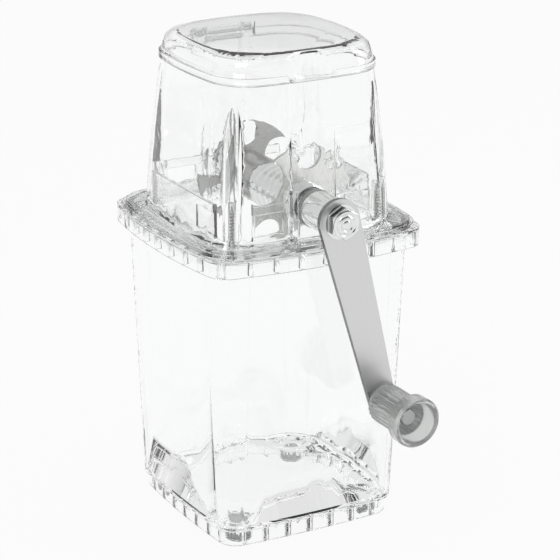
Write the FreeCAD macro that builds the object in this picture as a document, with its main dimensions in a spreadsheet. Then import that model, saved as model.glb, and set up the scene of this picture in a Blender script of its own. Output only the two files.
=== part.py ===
import FreeCAD, Part
import math
import os

import Sketcher

# A clear hand-cranked ice crusher: a square tub, a lift-off head with two steel blades on a
# cranked shaft, and a hinged lid. The origin is the centre of the tub's foot, on the table.
# +Z is up, the crank is on the -Y side and the lid's hinge on the +Y side.

# Driving sizes in millimetres, degrees and counts: name, value, what it is
SIZES = [
    ("foot_half", 51.6, "foot band, half width at the middle of a side"),
    ("foot_corner", 10.0, "foot band, corner radius"),
    ("foot_bow", 1.6, "foot band, how far a side bows out"),
    ("foot_tall", 9.0, "foot band height"),
    ("foot_wall", 2.0, "foot band thickness"),
    ("foot_rib_deep", 4.0, "how far a foot rib stands in from the band"),
    ("tub_low_half", 54.0, "tub wall, half width just above the foot"),
    ("tub_low_corner", 13.0, "tub wall, corner radius just above the foot"),
    ("tub_low_bow", 1.3, "tub wall, bow of a side just above the foot"),
    ("tub_top_half", 61.2, "tub wall, half width at the rim"),
    ("tub_top_corner", 20.0, "tub wall, corner radius at the rim"),
    ("tub_top_bow", 2.2, "tub wall, bow of a side at the rim"),
    ("tub_wall", 2.4, "tub wall thickness"),
    ("tub_floor", 3.0, "tub floor thickness"),
    ("tub_tall", 163.0, "height of the tub's rim above the table"),
    ("rim_over", 4.6, "rim band, how far it stands out past the tub wall"),
    ("rim_corner", 12.0, "rim band, corner radius"),
    ("rim_bow", 4.5, "rim band, bow of a side"),
    ("rim_tall", 9.9, "rim band height"),
    ("rim_wall", 1.8, "rim band thickness"),
    ("rim_plate", 2.4, "rim plate thickness"),
    ("rib_thick", 1.6, "thickness of the ribs under the rim and inside the foot"),
    ("rim_rib_pitch", 14.0, "distance between the ribs under the rim"),
    ("foot_rib_pitch", 13.0, "distance between the ribs inside the foot"),
    ("pad_place", 37.6, "foot pads, distance from the middle along X and Y"),
    ("pad_radius", 5.8, "foot pad radius"),
    ("pad_tall", 6.5, "foot pad height"),
    ("socket_wall", 1.6, "wall of the socket round a foot pad"),
    ("flange_half", 64.0, "head base flange, half width"),
    ("flange_corner", 21.0, "head base flange, corner radius"),
    ("flange_bow", 2.1, "head base flange, bow of a side"),
    ("flange_thick", 1.8, "head base flange thickness"),
    ("spigot_deep", 5.0, "how far the head's spigot reaches into the tub"),
    ("spigot_wall", 1.8, "spigot wall thickness"),
    ("spigot_gap", 0.5, "gap between the spigot and the tub wall"),
    ("frame_half", 48.4, "crushing frame, half width outside"),
    ("frame_wall", 2.0, "crushing frame wall thickness"),
    ("frame_above", 4.5, "how far the crushing frame stands above the shaft's centre"),
    ("window_from", 16.8, "frame window, near edge from the middle"),
    ("window_wide", 16.0, "frame window width"),
    ("window_sill", 3.4, "frame window, bottom above the flange"),
    ("window_tall", 11.6, "frame window height"),
    ("recess_deep", 0.9, "depth of the shallow recesses in the side walls of the frame"),
    ("tooth_thick", 3.0, "thickness of a fixed crushing tooth"),
    ("tooth_gap", 2.2, "gap between a fixed tooth and the spacers on the shaft"),
    ("tooth_shift", 0.34, "fixed teeth, how far behind a blade, as a part of their own distance"),
    ("tooth_drop", 9.0, "how far the tip of a fixed tooth slopes down"),
    ("shoe_half", 62.2, "foot flange of the housing, half width"),
    ("shoe_corner", 20.0, "foot flange of the housing, corner radius"),
    ("shoe_thick", 1.4, "foot flange of the housing, thickness"),
    ("bell_low_half", 54.2, "housing wall, half width at the foot flange"),
    ("bell_mid_half", 51.7, "housing wall, half width at mid height"),
    ("bell_top_half", 47.8, "housing wall, half width at the mouth"),
    ("bell_corner", 22.0, "housing wall, corner radius"),
    ("bell_bow", 1.5, "housing wall, bow of a side"),
    ("bell_wall", 2.6, "housing wall thickness"),
    ("bell_tall", 80.6, "height of the housing's mouth above the flange"),
    ("column_place", 42.3, "screw columns, distance from the middle along X and Y"),
    ("column_radius", 4.7, "screw column radius"),
    ("column_stop", 7.0, "how far the screw columns end below the mouth"),
    ("tower_half", 12.6, "bearing tower, half width"),
    ("tower_face", 47.6, "bearing tower, inner face from the middle"),
    ("slot_half", 10.4, "recess over a bearing, half width"),
    ("slot_face", 51.3, "recess over a bearing, flat face from the middle"),
    ("shaft_rise", 15.2, "height of the crank shaft's centre above the flange"),
    ("shaft_square", 10.0, "square part of the shaft, across the flats"),
    ("shaft_square_end", 44.2, "square part of the shaft, half length"),
    ("journal_radius", 6.0, "shaft journal radius"),
    ("stud_radius", 4.0, "threaded end of the shaft, radius"),
    ("fit_gap", 0.05, "radial clearance of a running or sliding fit"),
    ("bush_radius", 8.8, "bearing bush, outside radius"),
    ("collar_radius", 10.1, "flange of a bearing bush, radius"),
    ("collar_thick", 2.6, "flange of a bearing bush, thickness"),
    ("blade_radius", 28.0, "blade radius"),
    ("blade_thick", 2.0, "blade thickness"),
    ("blade_rear", 22.1, "centre of the rear blade along Y"),
    ("blade_pitch", 58.0, "distance between the two blades"),
    ("wide_bite", 12.2, "wide bites of both blades, radius"),
    ("wide_bite_out", 24.9, "wide bites, distance from the shaft"),
    ("deep_bite", 6.8, "deep bites of the rear blade, radius"),
    ("deep_bite_out", 21.3, "deep bites, distance from the shaft"),
    ("side_bite", 8.6, "side bite of the rear blade, radius"),
    ("side_bite_out", 21.0, "side bite, distance from the shaft"),
    ("round_bite", 7.7, "round bites of the front blade, radius"),
    ("round_bite_out", 24.3, "round bites, distance from the shaft"),
    ("small_bite", 5.7, "small bite of the front blade, radius"),
    ("small_bite_out", 27.0, "small bite, distance from the shaft"),
    ("rear_side_at", 23.0, "rear blade, angle of the side bite up from +X"),
    ("rear_deep_top_at", 88.0, "rear blade, angle of the upper deep bite"),
    ("rear_wide_left_at", 148.5, "rear blade, angle of the left wide bite"),
    ("rear_deep_left_at", 209.0, "rear blade, angle of the left deep bite"),
    ("rear_wide_low_at", 268.0, "rear blade, angle of the lower wide bite"),
    ("rear_deep_right_at", 327.0, "rear blade, angle of the right deep bite"),
    ("front_small_at", 48.0, "front blade, angle of the small bite up from +X"),
    ("front_round_top_at", 82.0, "front blade, angle of the upper round bite"),
    ("front_wide_left_at", 150.5, "front blade, angle of the left wide bite"),
    ("front_round_left_at", 217.0, "front blade, angle of the left round bite"),
    ("front_wide_low_at", 280.0, "front blade, angle of the lower wide bite"),
    ("front_round_right_at", 355.0, "front blade, angle of the right round bite"),
    ("spacer_bore", 7.2, "bore radius of the spacers"),
    ("drum_radius", 12.2, "smooth spacer radius"),
    ("drum_long", 24.1, "smooth spacer length"),
    ("ring_radius", 12.4, "large ribbed spacer, radius over the rings"),
    ("ring_count", 6.0, "large ribbed spacer, number of rings"),
    ("ring_deep", 1.7, "depth of the grooves between the spacer rings"),
    ("nose_radius", 10.8, "small ribbed spacer, radius over the rings"),
    ("nose_count", 3.0, "small ribbed spacer, number of rings"),
    ("tail_radius", 9.2, "rear spacer radius"),
    ("hub_radius", 9.8, "crank hub tube radius"),
    ("hub_long", 19.6, "crank hub tube length"),
    ("arm_thick", 2.8, "crank arm thickness"),
    ("arm_top_radius", 11.5, "crank arm, round end at the shaft"),
    ("arm_low_radius", 7.5, "crank arm, round end at the knob"),
    ("arm_long", 105.8, "crank arm, shaft centre to knob centre"),
    ("arm_lean", 15.0, "angle between the crank arm and straight down"),
    ("washer_radius", 9.0, "crank washer radius"),
    ("washer_thick", 1.4, "crank washer thickness"),
    ("nut_flats", 14.8, "crank nut across the flats"),
    ("nut_thick", 4.6, "crank nut, height of the hexagon"),
    ("nut_dome", 1.6, "crank nut, height of the domed end"),
    ("pin_radius", 3.0, "knob pin radius"),
    ("pin_head_radius", 4.3, "knob pin head radius"),
    ("pin_head_thick", 2.6, "knob pin head thickness"),
    ("rivet_radius", 5.0, "riveted end of the knob pin, radius"),
    ("rivet_thick", 1.2, "riveted end of the knob pin, thickness"),
    ("knob_washer_radius", 6.4, "knob washer radius"),
    ("knob_washer_thick", 1.0, "knob washer thickness"),
    ("knob_gap", 0.3, "end play of the knob"),
    ("knob_long", 32.0, "knob length"),
    ("knob_grip_radius", 10.6, "knob, ribbed grip radius"),
    ("knob_ring_radius", 13.4, "knob, front ring radius"),
    ("knob_ring_long", 9.0, "knob, front ring length"),
    ("knob_web", 20.5, "knob, length of its bore"),
    ("knob_wall", 3.0, "knob, wall of the cup"),
    ("knob_flutes", 24.0, "knob, number of flutes"),
    ("flute_radius", 0.9, "knob, flute radius"),
    ("lid_half", 48.7, "lid rim, half width"),
    ("lid_corner", 22.5, "lid rim, corner radius"),
    ("lid_bow", 1.6, "lid rim, bow of a side"),
    ("lid_gap", 0.3, "gap between the lid and the housing's mouth"),
    ("lid_rim_tall", 4.0, "lid rim height"),
    ("lid_dome_tall", 10.8, "height of the lid's dome above its rim"),
    ("lid_shoulder_half", 47.9, "lid dome, half width at its foot"),
    ("lid_brow_half", 46.9, "lid dome, half width where it turns over to the top"),
    ("lid_brow_radius", 6.0, "lid dome, radius of the turn to the top"),
    ("lid_wall", 2.2, "lid wall thickness"),
    ("scoop_radius", 24.0, "finger scoop, radius of its curve"),
    ("scoop_deep", 5.0, "finger scoop, how far it cuts into the front"),
    ("hinge_out", 50.0, "lid hinge, distance of the pin from the middle"),
    ("hinge_rise", 3.9, "lid hinge, height of the pin above the housing's mouth"),
    ("hinge_barrel", 3.5, "lid hinge, knuckle radius"),
    ("hinge_pin", 1.5, "lid hinge, pin radius"),
    ("hinge_inner", 11.0, "lid hinge, half width of the lid's knuckle"),
    ("hinge_ear", 6.0, "lid hinge, width of an ear on the housing"),
    ("hinge_side_gap", 0.4, "lid hinge, gap between the knuckles"),
    ("screw_radius", 1.9, "housing screw, thread radius"),
    ("screw_root", 1.3, "housing screw, root radius"),
    ("screw_long", 22.0, "housing screw, thread length"),
    ("screw_turns", 11.0, "housing screw, number of thread ridges"),
    ("screw_head", 3.4, "housing screw, head radius"),
    ("screw_head_thick", 2.2, "housing screw, head thickness"),
]

doc = FreeCAD.newDocument("ice_crusher")
sheet = doc.addObject("Spreadsheet::Sheet", "Sizes")


class Size:
    """A length with its number and the sheet expression that gives it."""

    def __init__(self, number, text):
        self.number = float(number)
        self.text = text

    def __add__(self, other):
        other = as_size(other)
        return Size(self.number + other.number, f"({self.text} + {other.text})")

    def __sub__(self, other):
        other = as_size(other)
        return Size(self.number - other.number, f"({self.text} - {other.text})")

    def __mul__(self, other):
        other = as_size(other)
        return Size(self.number * other.number, f"({self.text} * {other.text})")

    def __truediv__(self, other):
        other = as_size(other)
        return Size(self.number / other.number, f"({self.text} / {other.text})")

    def __radd__(self, other):
        return as_size(other) + self

    def __rsub__(self, other):
        return as_size(other) - self

    def __rmul__(self, other):
        return as_size(other) * self

    def __neg__(self):
        return Size(-self.number, f"(0 - {self.text})")


def as_size(value):
    if isinstance(value, Size):
        return value
    return Size(value, f"({float(value)})")


def root(value):
    return Size(math.sqrt(value.number), f"sqrt({value.text})")


def cosine(angle):
    return Size(math.cos(math.radians(angle.number)), f"cos({angle.text} * 1 deg)")


def sine(angle):
    return Size(math.sin(math.radians(angle.number)), f"sin({angle.text} * 1 deg)")


def fill_sheet():
    """Writes the sizes into the sheet and gives back each one by its name."""
    sizes = {}
    for row, (name, number, note) in enumerate(SIZES, start=1):
        sheet.set(f"A{row}", name)
        sheet.set(f"B{row}", str(number))
        sheet.setAlias(f"B{row}", name)
        sheet.set(f"C{row}", note)
        sizes[name] = Size(number, f"Sizes.{name}")
    doc.recompute()
    return sizes


S = fill_sheet()
NONE = as_size(0.0)
X_AXIS = FreeCAD.Vector(1, 0, 0)
Y_AXIS = FreeCAD.Vector(0, 1, 0)
Z_AXIS = FreeCAD.Vector(0, 0, 1)
LEVEL = FreeCAD.Rotation()
FULL_TURN = 360.0
ALONG_X = FreeCAD.Rotation(Y_AXIS, 90)
ALONG_BACK = FreeCAD.Rotation(X_AXIS, -90)

pieces = []


def bind(thing, **lengths):
    """Sets each named size of a thing and ties it to the sheet."""
    for name, length in lengths.items():
        length = as_size(length)
        setattr(thing, name, length.number)
        thing.setExpression(name, length.text)
    return thing


def place(thing, x=NONE, y=NONE, z=NONE, turn=LEVEL):
    """Puts a thing at a place tied to the sheet."""
    spot = [as_size(v) for v in (x, y, z)]
    thing.Placement = FreeCAD.Placement(FreeCAD.Vector(*[v.number for v in spot]), turn)
    for axis, length in zip("xyz", spot):
        thing.setExpression(f"Placement.Base.{axis}", length.text)
    return thing


def finish(thing, label):
    """Names a finished piece and keeps it for the export."""
    thing.Label = label
    pieces.append(thing)
    return thing


def box(name, x, y, z):
    """A box between two limits along each axis."""
    low = [as_size(pair[0]) for pair in (x, y, z)]
    high = [as_size(pair[1]) for pair in (x, y, z)]
    thing = doc.addObject("Part::Box", name)
    bind(thing, Length=high[0] - low[0], Width=high[1] - low[1], Height=high[2] - low[2])
    return place(thing, *low)


def cylinder(name, radius, length, x=NONE, y=NONE, z=NONE, turn=LEVEL):
    thing = doc.addObject("Part::Cylinder", name)
    bind(thing, Radius=radius, Height=length)
    return place(thing, x, y, z, turn)


def fuse(name, shapes):
    thing = doc.addObject("Part::MultiFuse", name)
    thing.Shapes = shapes
    return thing


def common(name, shapes):
    thing = doc.addObject("Part::MultiCommon", name)
    thing.Shapes = shapes
    return thing


def cut(name, base, *tools):
    """Takes the tools away from the base."""
    thing = doc.addObject("Part::Cut", name)
    thing.Base = base
    thing.Tool = tools[0] if len(tools) == 1 else fuse(f"{name}_tools", list(tools))
    return thing


def by_number(length):
    """Sorts sizes by their numbers."""
    return length.number


def signed(lengths):
    """Each size with its sign."""
    return [(length, 1 if length.number > 0 else -1) for length in lengths]


def new_body(name):
    return doc.addObject("PartDesign::Body", name)


def plane_sketch(body, name, role="XZ_Plane"):
    """A sketch on one of a body's own origin planes."""
    sketch = body.newObject("Sketcher::SketchObject", name)
    plane = [feature for feature in body.Origin.OriginFeatures if feature.Role == role][0]
    sketch.AttachmentSupport = (plane, [""])
    sketch.MapMode = "FlatFace"
    return sketch


def pin_point(sketch, item, end, x, y):
    """Fixes a point of a sketch at sizes from the sheet."""
    for kind, axis, length in (("DistanceX", -2, as_size(x)), ("DistanceY", -1, as_size(y))):
        if abs(length.number) < 1e-9:
            sketch.addConstraint(Sketcher.Constraint("PointOnObject", item, end, axis))
            continue
        number = sketch.addConstraint(Sketcher.Constraint(kind, -1, 1, item, end, length.number))
        sketch.setExpression(f"Constraints[{number}]", length.text)


def pin_radius(sketch, item, radius):
    number = sketch.addConstraint(Sketcher.Constraint("Radius", item, radius.number))
    sketch.setExpression(f"Constraints[{number}]", radius.text)


def draw_outline(sketch, points):
    """A closed outline of straight lines through the points."""
    spots = [FreeCAD.Vector(as_size(x).number, as_size(y).number, 0) for x, y in points]
    count = len(spots)
    for i in range(count):
        sketch.addGeometry(Part.LineSegment(spots[i], spots[(i + 1) % count]), False)
    for i in range(count):
        sketch.addConstraint(Sketcher.Constraint("Coincident", i, 2, (i + 1) % count, 1))
    for i, (x, y) in enumerate(points):
        pin_point(sketch, i, 1, x, y)


def draw_circles(sketch, circles):
    """Circles, each given as x, y and radius."""
    for x, y, radius in circles:
        centre = FreeCAD.Vector(as_size(x).number, as_size(y).number, 0)
        item = sketch.addGeometry(Part.Circle(centre, Z_AXIS, radius.number), False)
        pin_point(sketch, item, 3, x, y)
        pin_radius(sketch, item, radius)


def bowed_square(name, half, corner, bow, z):
    """A level outline at height z: a square whose sides bow out and whose corners are round."""
    sketch = doc.addObject("Sketcher::SketchObject", name)
    flat = half - corner
    side = (flat * flat + bow * bow) / (bow * 2)
    back = side - half
    reach = side - corner
    out = (root(reach * reach * 2 - back * back) - back) / 2
    half_turn = math.atan2(out.number, (out + back).number)
    signs = ((1, 0), (0, 1), (-1, 0), (0, -1))
    corners = ((1, 1), (-1, 1), (-1, -1), (1, -1))
    for quarter in range(4):
        turn = quarter * math.pi / 2
        sx, sy = signs[quarter]
        cx, cy = corners[quarter]
        middle = FreeCAD.Vector(-back.number * sx, -back.number * sy, 0)
        side_circle = Part.Circle(middle, Z_AXIS, side.number)
        side_arc = Part.ArcOfCircle(side_circle, turn - half_turn, turn + half_turn)
        sketch.addGeometry(side_arc, False)
        middle = FreeCAD.Vector(out.number * cx, out.number * cy, 0)
        corner_circle = Part.Circle(middle, Z_AXIS, corner.number)
        corner_end = turn + math.pi / 2 - half_turn
        sketch.addGeometry(Part.ArcOfCircle(corner_circle, turn + half_turn, corner_end), False)
    for item in range(8):
        sketch.addConstraint(Sketcher.Constraint("Tangent", item, 2, (item + 1) % 8, 1))
    for quarter in range(4):
        sx, sy = signs[quarter]
        pin_point(sketch, 2 * quarter, 3, back * -sx, back * -sy)
    pin_radius(sketch, 0, side)
    pin_radius(sketch, 1, corner)
    for item in (2, 4, 6):
        sketch.addConstraint(Sketcher.Constraint("Equal", 0, item))
        sketch.addConstraint(Sketcher.Constraint("Equal", 1, item + 1))
    return place(sketch, z=z)


def prism(name, outline, height):
    """A solid as tall as height over a level outline."""
    thing = doc.addObject("Part::Extrusion", name)
    thing.Base = outline
    thing.DirMode = "Custom"
    thing.Dir = Z_AXIS
    thing.Solid = True
    return bind(thing, LengthFwd=height)


def loft(name, outlines, ruled=True):
    thing = doc.addObject("Part::Loft", name)
    thing.Sections = outlines
    thing.Solid = True
    thing.Ruled = ruled
    return thing


def rod(name, radius, start, end, x=NONE, z=NONE):
    """A cylinder along Y between two places."""
    return cylinder(name, radius, end - start, x, start, z, ALONG_BACK)


def turned(name, outline, role="XY_Plane"):
    """A body turned about its own long axis: each point is a radius and a place along the axis."""
    body = new_body(name)
    sketch = plane_sketch(body, f"{name}_outline", role)
    draw_outline(sketch, outline)
    turn = body.newObject("PartDesign::Revolution", f"{name}_turn")
    turn.Profile = sketch
    turn.ReferenceAxis = (sketch, ["V_Axis"])
    turn.Angle = FULL_TURN
    sketch.Visibility = False
    return body


def padded(body, sketch, length, name):
    """A pad as thick as length, with the sketch at its middle."""
    pad = body.newObject("PartDesign::Pad", name)
    pad.Profile = sketch
    pad.Midplane = True
    return bind(pad, Length=length)


def ring(name, outer, inner, start, end, x=NONE, z=NONE):
    """A turned tube along Y between two places."""
    points = [(inner, start), (outer, start), (outer, end), (inner, end)]
    return place(turned(name, points), x=x, z=z)


def four_corners(distance):
    """The four places at plus and minus a distance along X and Y, with their names."""
    return (
        ("front_left", -distance, -distance),
        ("front_right", distance, -distance),
        ("rear_right", distance, distance),
        ("rear_left", -distance, distance),
    )


def side_ribs(name, pitch, reach, thick, start, end, low, high):
    """Upright ribs on all four sides: boxes across each wall at an even pitch."""
    count = int(reach.number // pitch.number)
    ribs = []
    for step in range(-count, count + 1):
        middle = pitch * step
        along = (middle - thick / 2, middle + thick / 2)
        for side, across in (("far", (start, end)), ("near", (-end, -start))):
            ribs.append(box(f"{name}_x_{side}_{step + count}", across, along, (low, high)))
            ribs.append(box(f"{name}_y_{side}_{step + count}", along, across, (low, high)))
    return fuse(name, ribs)


# Heights
floor_top = S["foot_tall"] + S["tub_floor"]
rim_low = S["tub_tall"] - S["rim_tall"]
rim_half = S["tub_top_half"] + S["rim_over"]
flange_top = S["tub_tall"] + S["flange_thick"]
shaft_up = flange_top + S["shaft_rise"]
mouth = flange_top + S["bell_tall"]
frame_top = shaft_up + S["frame_above"]
hinge_up = mouth + S["hinge_rise"]
lid_low = mouth + S["lid_gap"]
lid_shoulder = lid_low + S["lid_rim_tall"]
lid_top = lid_shoulder + S["lid_dome_tall"]
hinge_long = (S["hinge_inner"] + S["hinge_side_gap"] + S["hinge_ear"]) * 2
gap = S["fit_gap"]
blade_front = S["blade_rear"] - S["blade_pitch"]

# Distances from the middle towards the crank
inner_end = S["frame_half"] - S["frame_wall"] - gap * 10
collar_front = S["slot_face"] + S["collar_thick"]
hub_back = collar_front + gap * 4
arm_back = hub_back + S["hub_long"]
arm_front = arm_back + S["arm_thick"]
washer_front = arm_front + S["washer_thick"]
knob_back = arm_front + S["knob_washer_thick"] + S["knob_gap"]
web_front = knob_back + S["knob_web"]
knob_front = knob_back + S["knob_long"]

# The knob's pin, from the lean and length of the arm
pin_x = S["arm_long"] * sine(S["arm_lean"])
pin_z = shaft_up - S["arm_long"] * cosine(S["arm_lean"])


def make_tub():
    """One clear moulding: foot band, tapered wall, floor, ribbed rim and pad sockets."""
    tall = S["tub_tall"]
    low = bowed_square("tub_low", S["tub_low_half"], S["tub_low_corner"], S["tub_low_bow"], S["foot_tall"])
    top = bowed_square("tub_top", S["tub_top_half"], S["tub_top_corner"], S["tub_top_bow"], tall)
    outer = loft("tub_outer", [low, top])
    wall = S["tub_wall"]
    rise = S["tub_floor"] / (S["tub_tall"] - S["foot_tall"])
    floor_half = S["tub_low_half"] + (S["tub_top_half"] - S["tub_low_half"]) * rise
    inner_low = bowed_square(
        "tub_inner_low", floor_half - wall, S["tub_low_corner"] - wall, S["tub_low_bow"], floor_top
    )
    inner_top = bowed_square(
        "tub_inner_top", S["tub_top_half"] - wall, S["tub_top_corner"] - wall, S["tub_top_bow"], S["tub_tall"]
    )
    cavity = loft("tub_cavity", [inner_low, inner_top])

    foot = prism(
        "foot_block",
        bowed_square("foot_outline", S["foot_half"], S["foot_corner"], S["foot_bow"], NONE),
        S["foot_tall"],
    )
    foot_hollow = prism(
        "foot_hollow",
        bowed_square(
            "foot_inner_outline",
            S["foot_half"] - S["foot_wall"],
            S["foot_corner"] - S["foot_wall"],
            S["foot_bow"],
            NONE,
        ),
        S["foot_tall"],
    )
    inside = S["foot_half"] - S["foot_rib_deep"] - S["foot_wall"]
    foot_ribs = side_ribs(
        "foot_ribs",
        S["foot_rib_pitch"],
        S["foot_half"] - S["foot_corner"],
        S["rib_thick"],
        inside,
        S["foot_half"],
        NONE,
        S["foot_tall"],
    )
    socket_low = S["pad_tall"] / 5
    sockets = []
    bores = []
    for name, x, y in four_corners(S["pad_place"]):
        outside = S["pad_radius"] + gap + S["socket_wall"]
        sockets.append(cylinder(f"socket_{name}", outside, S["foot_tall"] - socket_low, x, y, socket_low))
        bores.append(cylinder(f"socket_bore_{name}", S["pad_radius"] + gap, S["pad_tall"], x, y))
    foot_gap = cut("foot_gap", foot_hollow, foot_ribs, *sockets)

    rim_outline = bowed_square("rim_outline", rim_half, S["rim_corner"], S["rim_bow"], rim_low)
    rim = prism("rim_block", rim_outline, S["rim_tall"])
    rim_hollow = prism(
        "rim_hollow",
        bowed_square(
            "rim_inner_outline",
            rim_half - S["rim_wall"],
            S["rim_corner"] - S["rim_wall"],
            S["rim_bow"],
            rim_low,
        ),
        S["rim_tall"] - S["rim_plate"],
    )
    rim_ribs = side_ribs(
        "rim_ribs",
        S["rim_rib_pitch"],
        rim_half - S["rim_corner"] / 2,
        S["rib_thick"],
        S["tub_low_half"],
        rim_half,
        rim_low,
        S["tub_tall"],
    )
    rim_gap = cut("rim_gap", rim_hollow, rim_ribs, outer)
    shell = fuse("tub_block", [outer, cut("foot_ring", foot, foot_gap), cut("rim_ring", rim, rim_gap)])
    finish(cut("ice_tub", shell, cavity, *bores), "ice_tub")

    for name, x, y in four_corners(S["pad_place"]):
        pad = turned(
            f"foot_pad_{name}",
            [
                (NONE, NONE),
                (S["pad_radius"] - gap * 6, NONE),
                (S["pad_radius"], gap * 6),
                (S["pad_radius"], S["pad_tall"]),
                (NONE, S["pad_tall"]),
            ],
            "XZ_Plane",
        )
        finish(place(pad, x=x, y=y), f"foot_pad_{name}")


def make_head_base():
    """The plate that sits on the tub: spigot, crushing frame, shaft saddles and fixed teeth."""
    flange = prism(
        "flange_block",
        bowed_square("flange_outline", S["flange_half"], S["flange_corner"], S["flange_bow"], S["tub_tall"]),
        S["flange_thick"],
    )
    wall = S["tub_wall"]
    spigot_half = S["tub_top_half"] - wall - S["spigot_gap"]
    spigot_corner = S["tub_top_corner"] - wall - S["spigot_gap"]
    spigot_low = S["tub_tall"] - S["spigot_deep"]
    spigot = prism(
        "spigot_block",
        bowed_square("spigot_outline", spigot_half, spigot_corner, S["tub_top_bow"], spigot_low),
        S["spigot_deep"],
    )
    thin = S["spigot_wall"]
    spigot_inner = bowed_square(
        "spigot_inner_outline", spigot_half - thin, spigot_corner - thin, S["tub_top_bow"], spigot_low
    )
    spigot_hollow = prism("spigot_hollow", spigot_inner, S["spigot_deep"])
    half = S["frame_half"]
    inner = half - S["frame_wall"]
    frame = box("frame_block", (-half, half), (-half, half), (S["tub_tall"], frame_top))
    opening = box("frame_opening", (-inner, inner), (-inner, inner), (S["tub_tall"], frame_top))
    landings = []
    column_gaps = []
    screw_holes = []
    clear = S["column_radius"] + gap * 8
    thick = S["flange_thick"]
    away = clear * 1.6
    for name, x, y in four_corners(S["column_place"]):
        landings.append(cylinder(f"landing_{name}", clear + S["frame_wall"], thick, x, y, S["tub_tall"]))
        spans = [sorted((v - away * sign, half * 2 * sign), key=by_number) for v, sign in signed((x, y))]
        column_gaps.append(box(f"column_gap_{name}", *spans, (flange_top, frame_top)))
        hole = cylinder(f"flange_hole_{name}", S["screw_radius"] + gap, thick, x, y, S["tub_tall"])
        screw_holes.append(hole)
    opening = cut("frame_way", opening, *landings)

    windows = []
    near = S["window_from"]
    far = near + S["window_wide"]
    sill = flange_top + S["window_sill"]
    lintel = sill + S["window_tall"]
    recess = half - S["recess_deep"]
    for side, across in (("left", (-far, -near)), ("right", (near, far))):
        windows.append(box(f"window_{side}", across, (-half, half), (sill, lintel)))
        windows.append(box(f"recess_low_x_{side}", (-half, -recess), across, (sill, lintel)))
        windows.append(box(f"recess_high_x_{side}", (recess, half), across, (sill, lintel)))
    tower_room = S["tower_half"] + gap * 8
    room = box("tower_room", (-tower_room, tower_room), (-half, half), (flange_top, frame_top))

    saddle_half = S["bush_radius"] - gap * 5
    saddles = []
    for side, across in (
        ("front", (gap - S["slot_face"], -inner)),
        ("rear", (inner, S["slot_face"] - gap)),
    ):
        saddles.append(box(f"saddle_{side}", (-saddle_half, saddle_half), across, (flange_top, shaft_up)))
    bush_way = rod("bush_way", S["bush_radius"] + gap, -half * 2, half * 2, z=shaft_up)

    teeth = []
    tip = S["ring_radius"] + S["tooth_gap"]
    seat = half - S["frame_wall"] / 2
    for step in range(3):
        tooth = new_body(f"tooth_{step}")
        sketch = plane_sketch(tooth, f"tooth_{step}_outline")
        draw_outline(
            sketch,
            [
                (tip, shaft_up - S["tooth_drop"]),
                (tip + S["tooth_thick"], shaft_up - S["tooth_drop"] - S["tooth_thick"]),
                (seat, S["tub_tall"]),
                (seat, frame_top),
            ],
        )
        padded(tooth, sketch, S["tooth_thick"], f"tooth_{step}_pad")
        place(tooth, y=S["blade_rear"] + S["blade_pitch"] / 2 * (S["tooth_shift"] - step))
        teeth.append(tooth)

    ring_part = cut("spigot_ring", spigot, spigot_hollow)
    plate = fuse("flange_and_frame", [flange, frame])
    walls = cut("frame_walls", plate, opening, room, *windows, *column_gaps)
    block = fuse("base_block", [walls, ring_part, *saddles, *teeth])
    finish(cut("head_base", block, bush_way, *screw_holes), "head_base")


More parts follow.
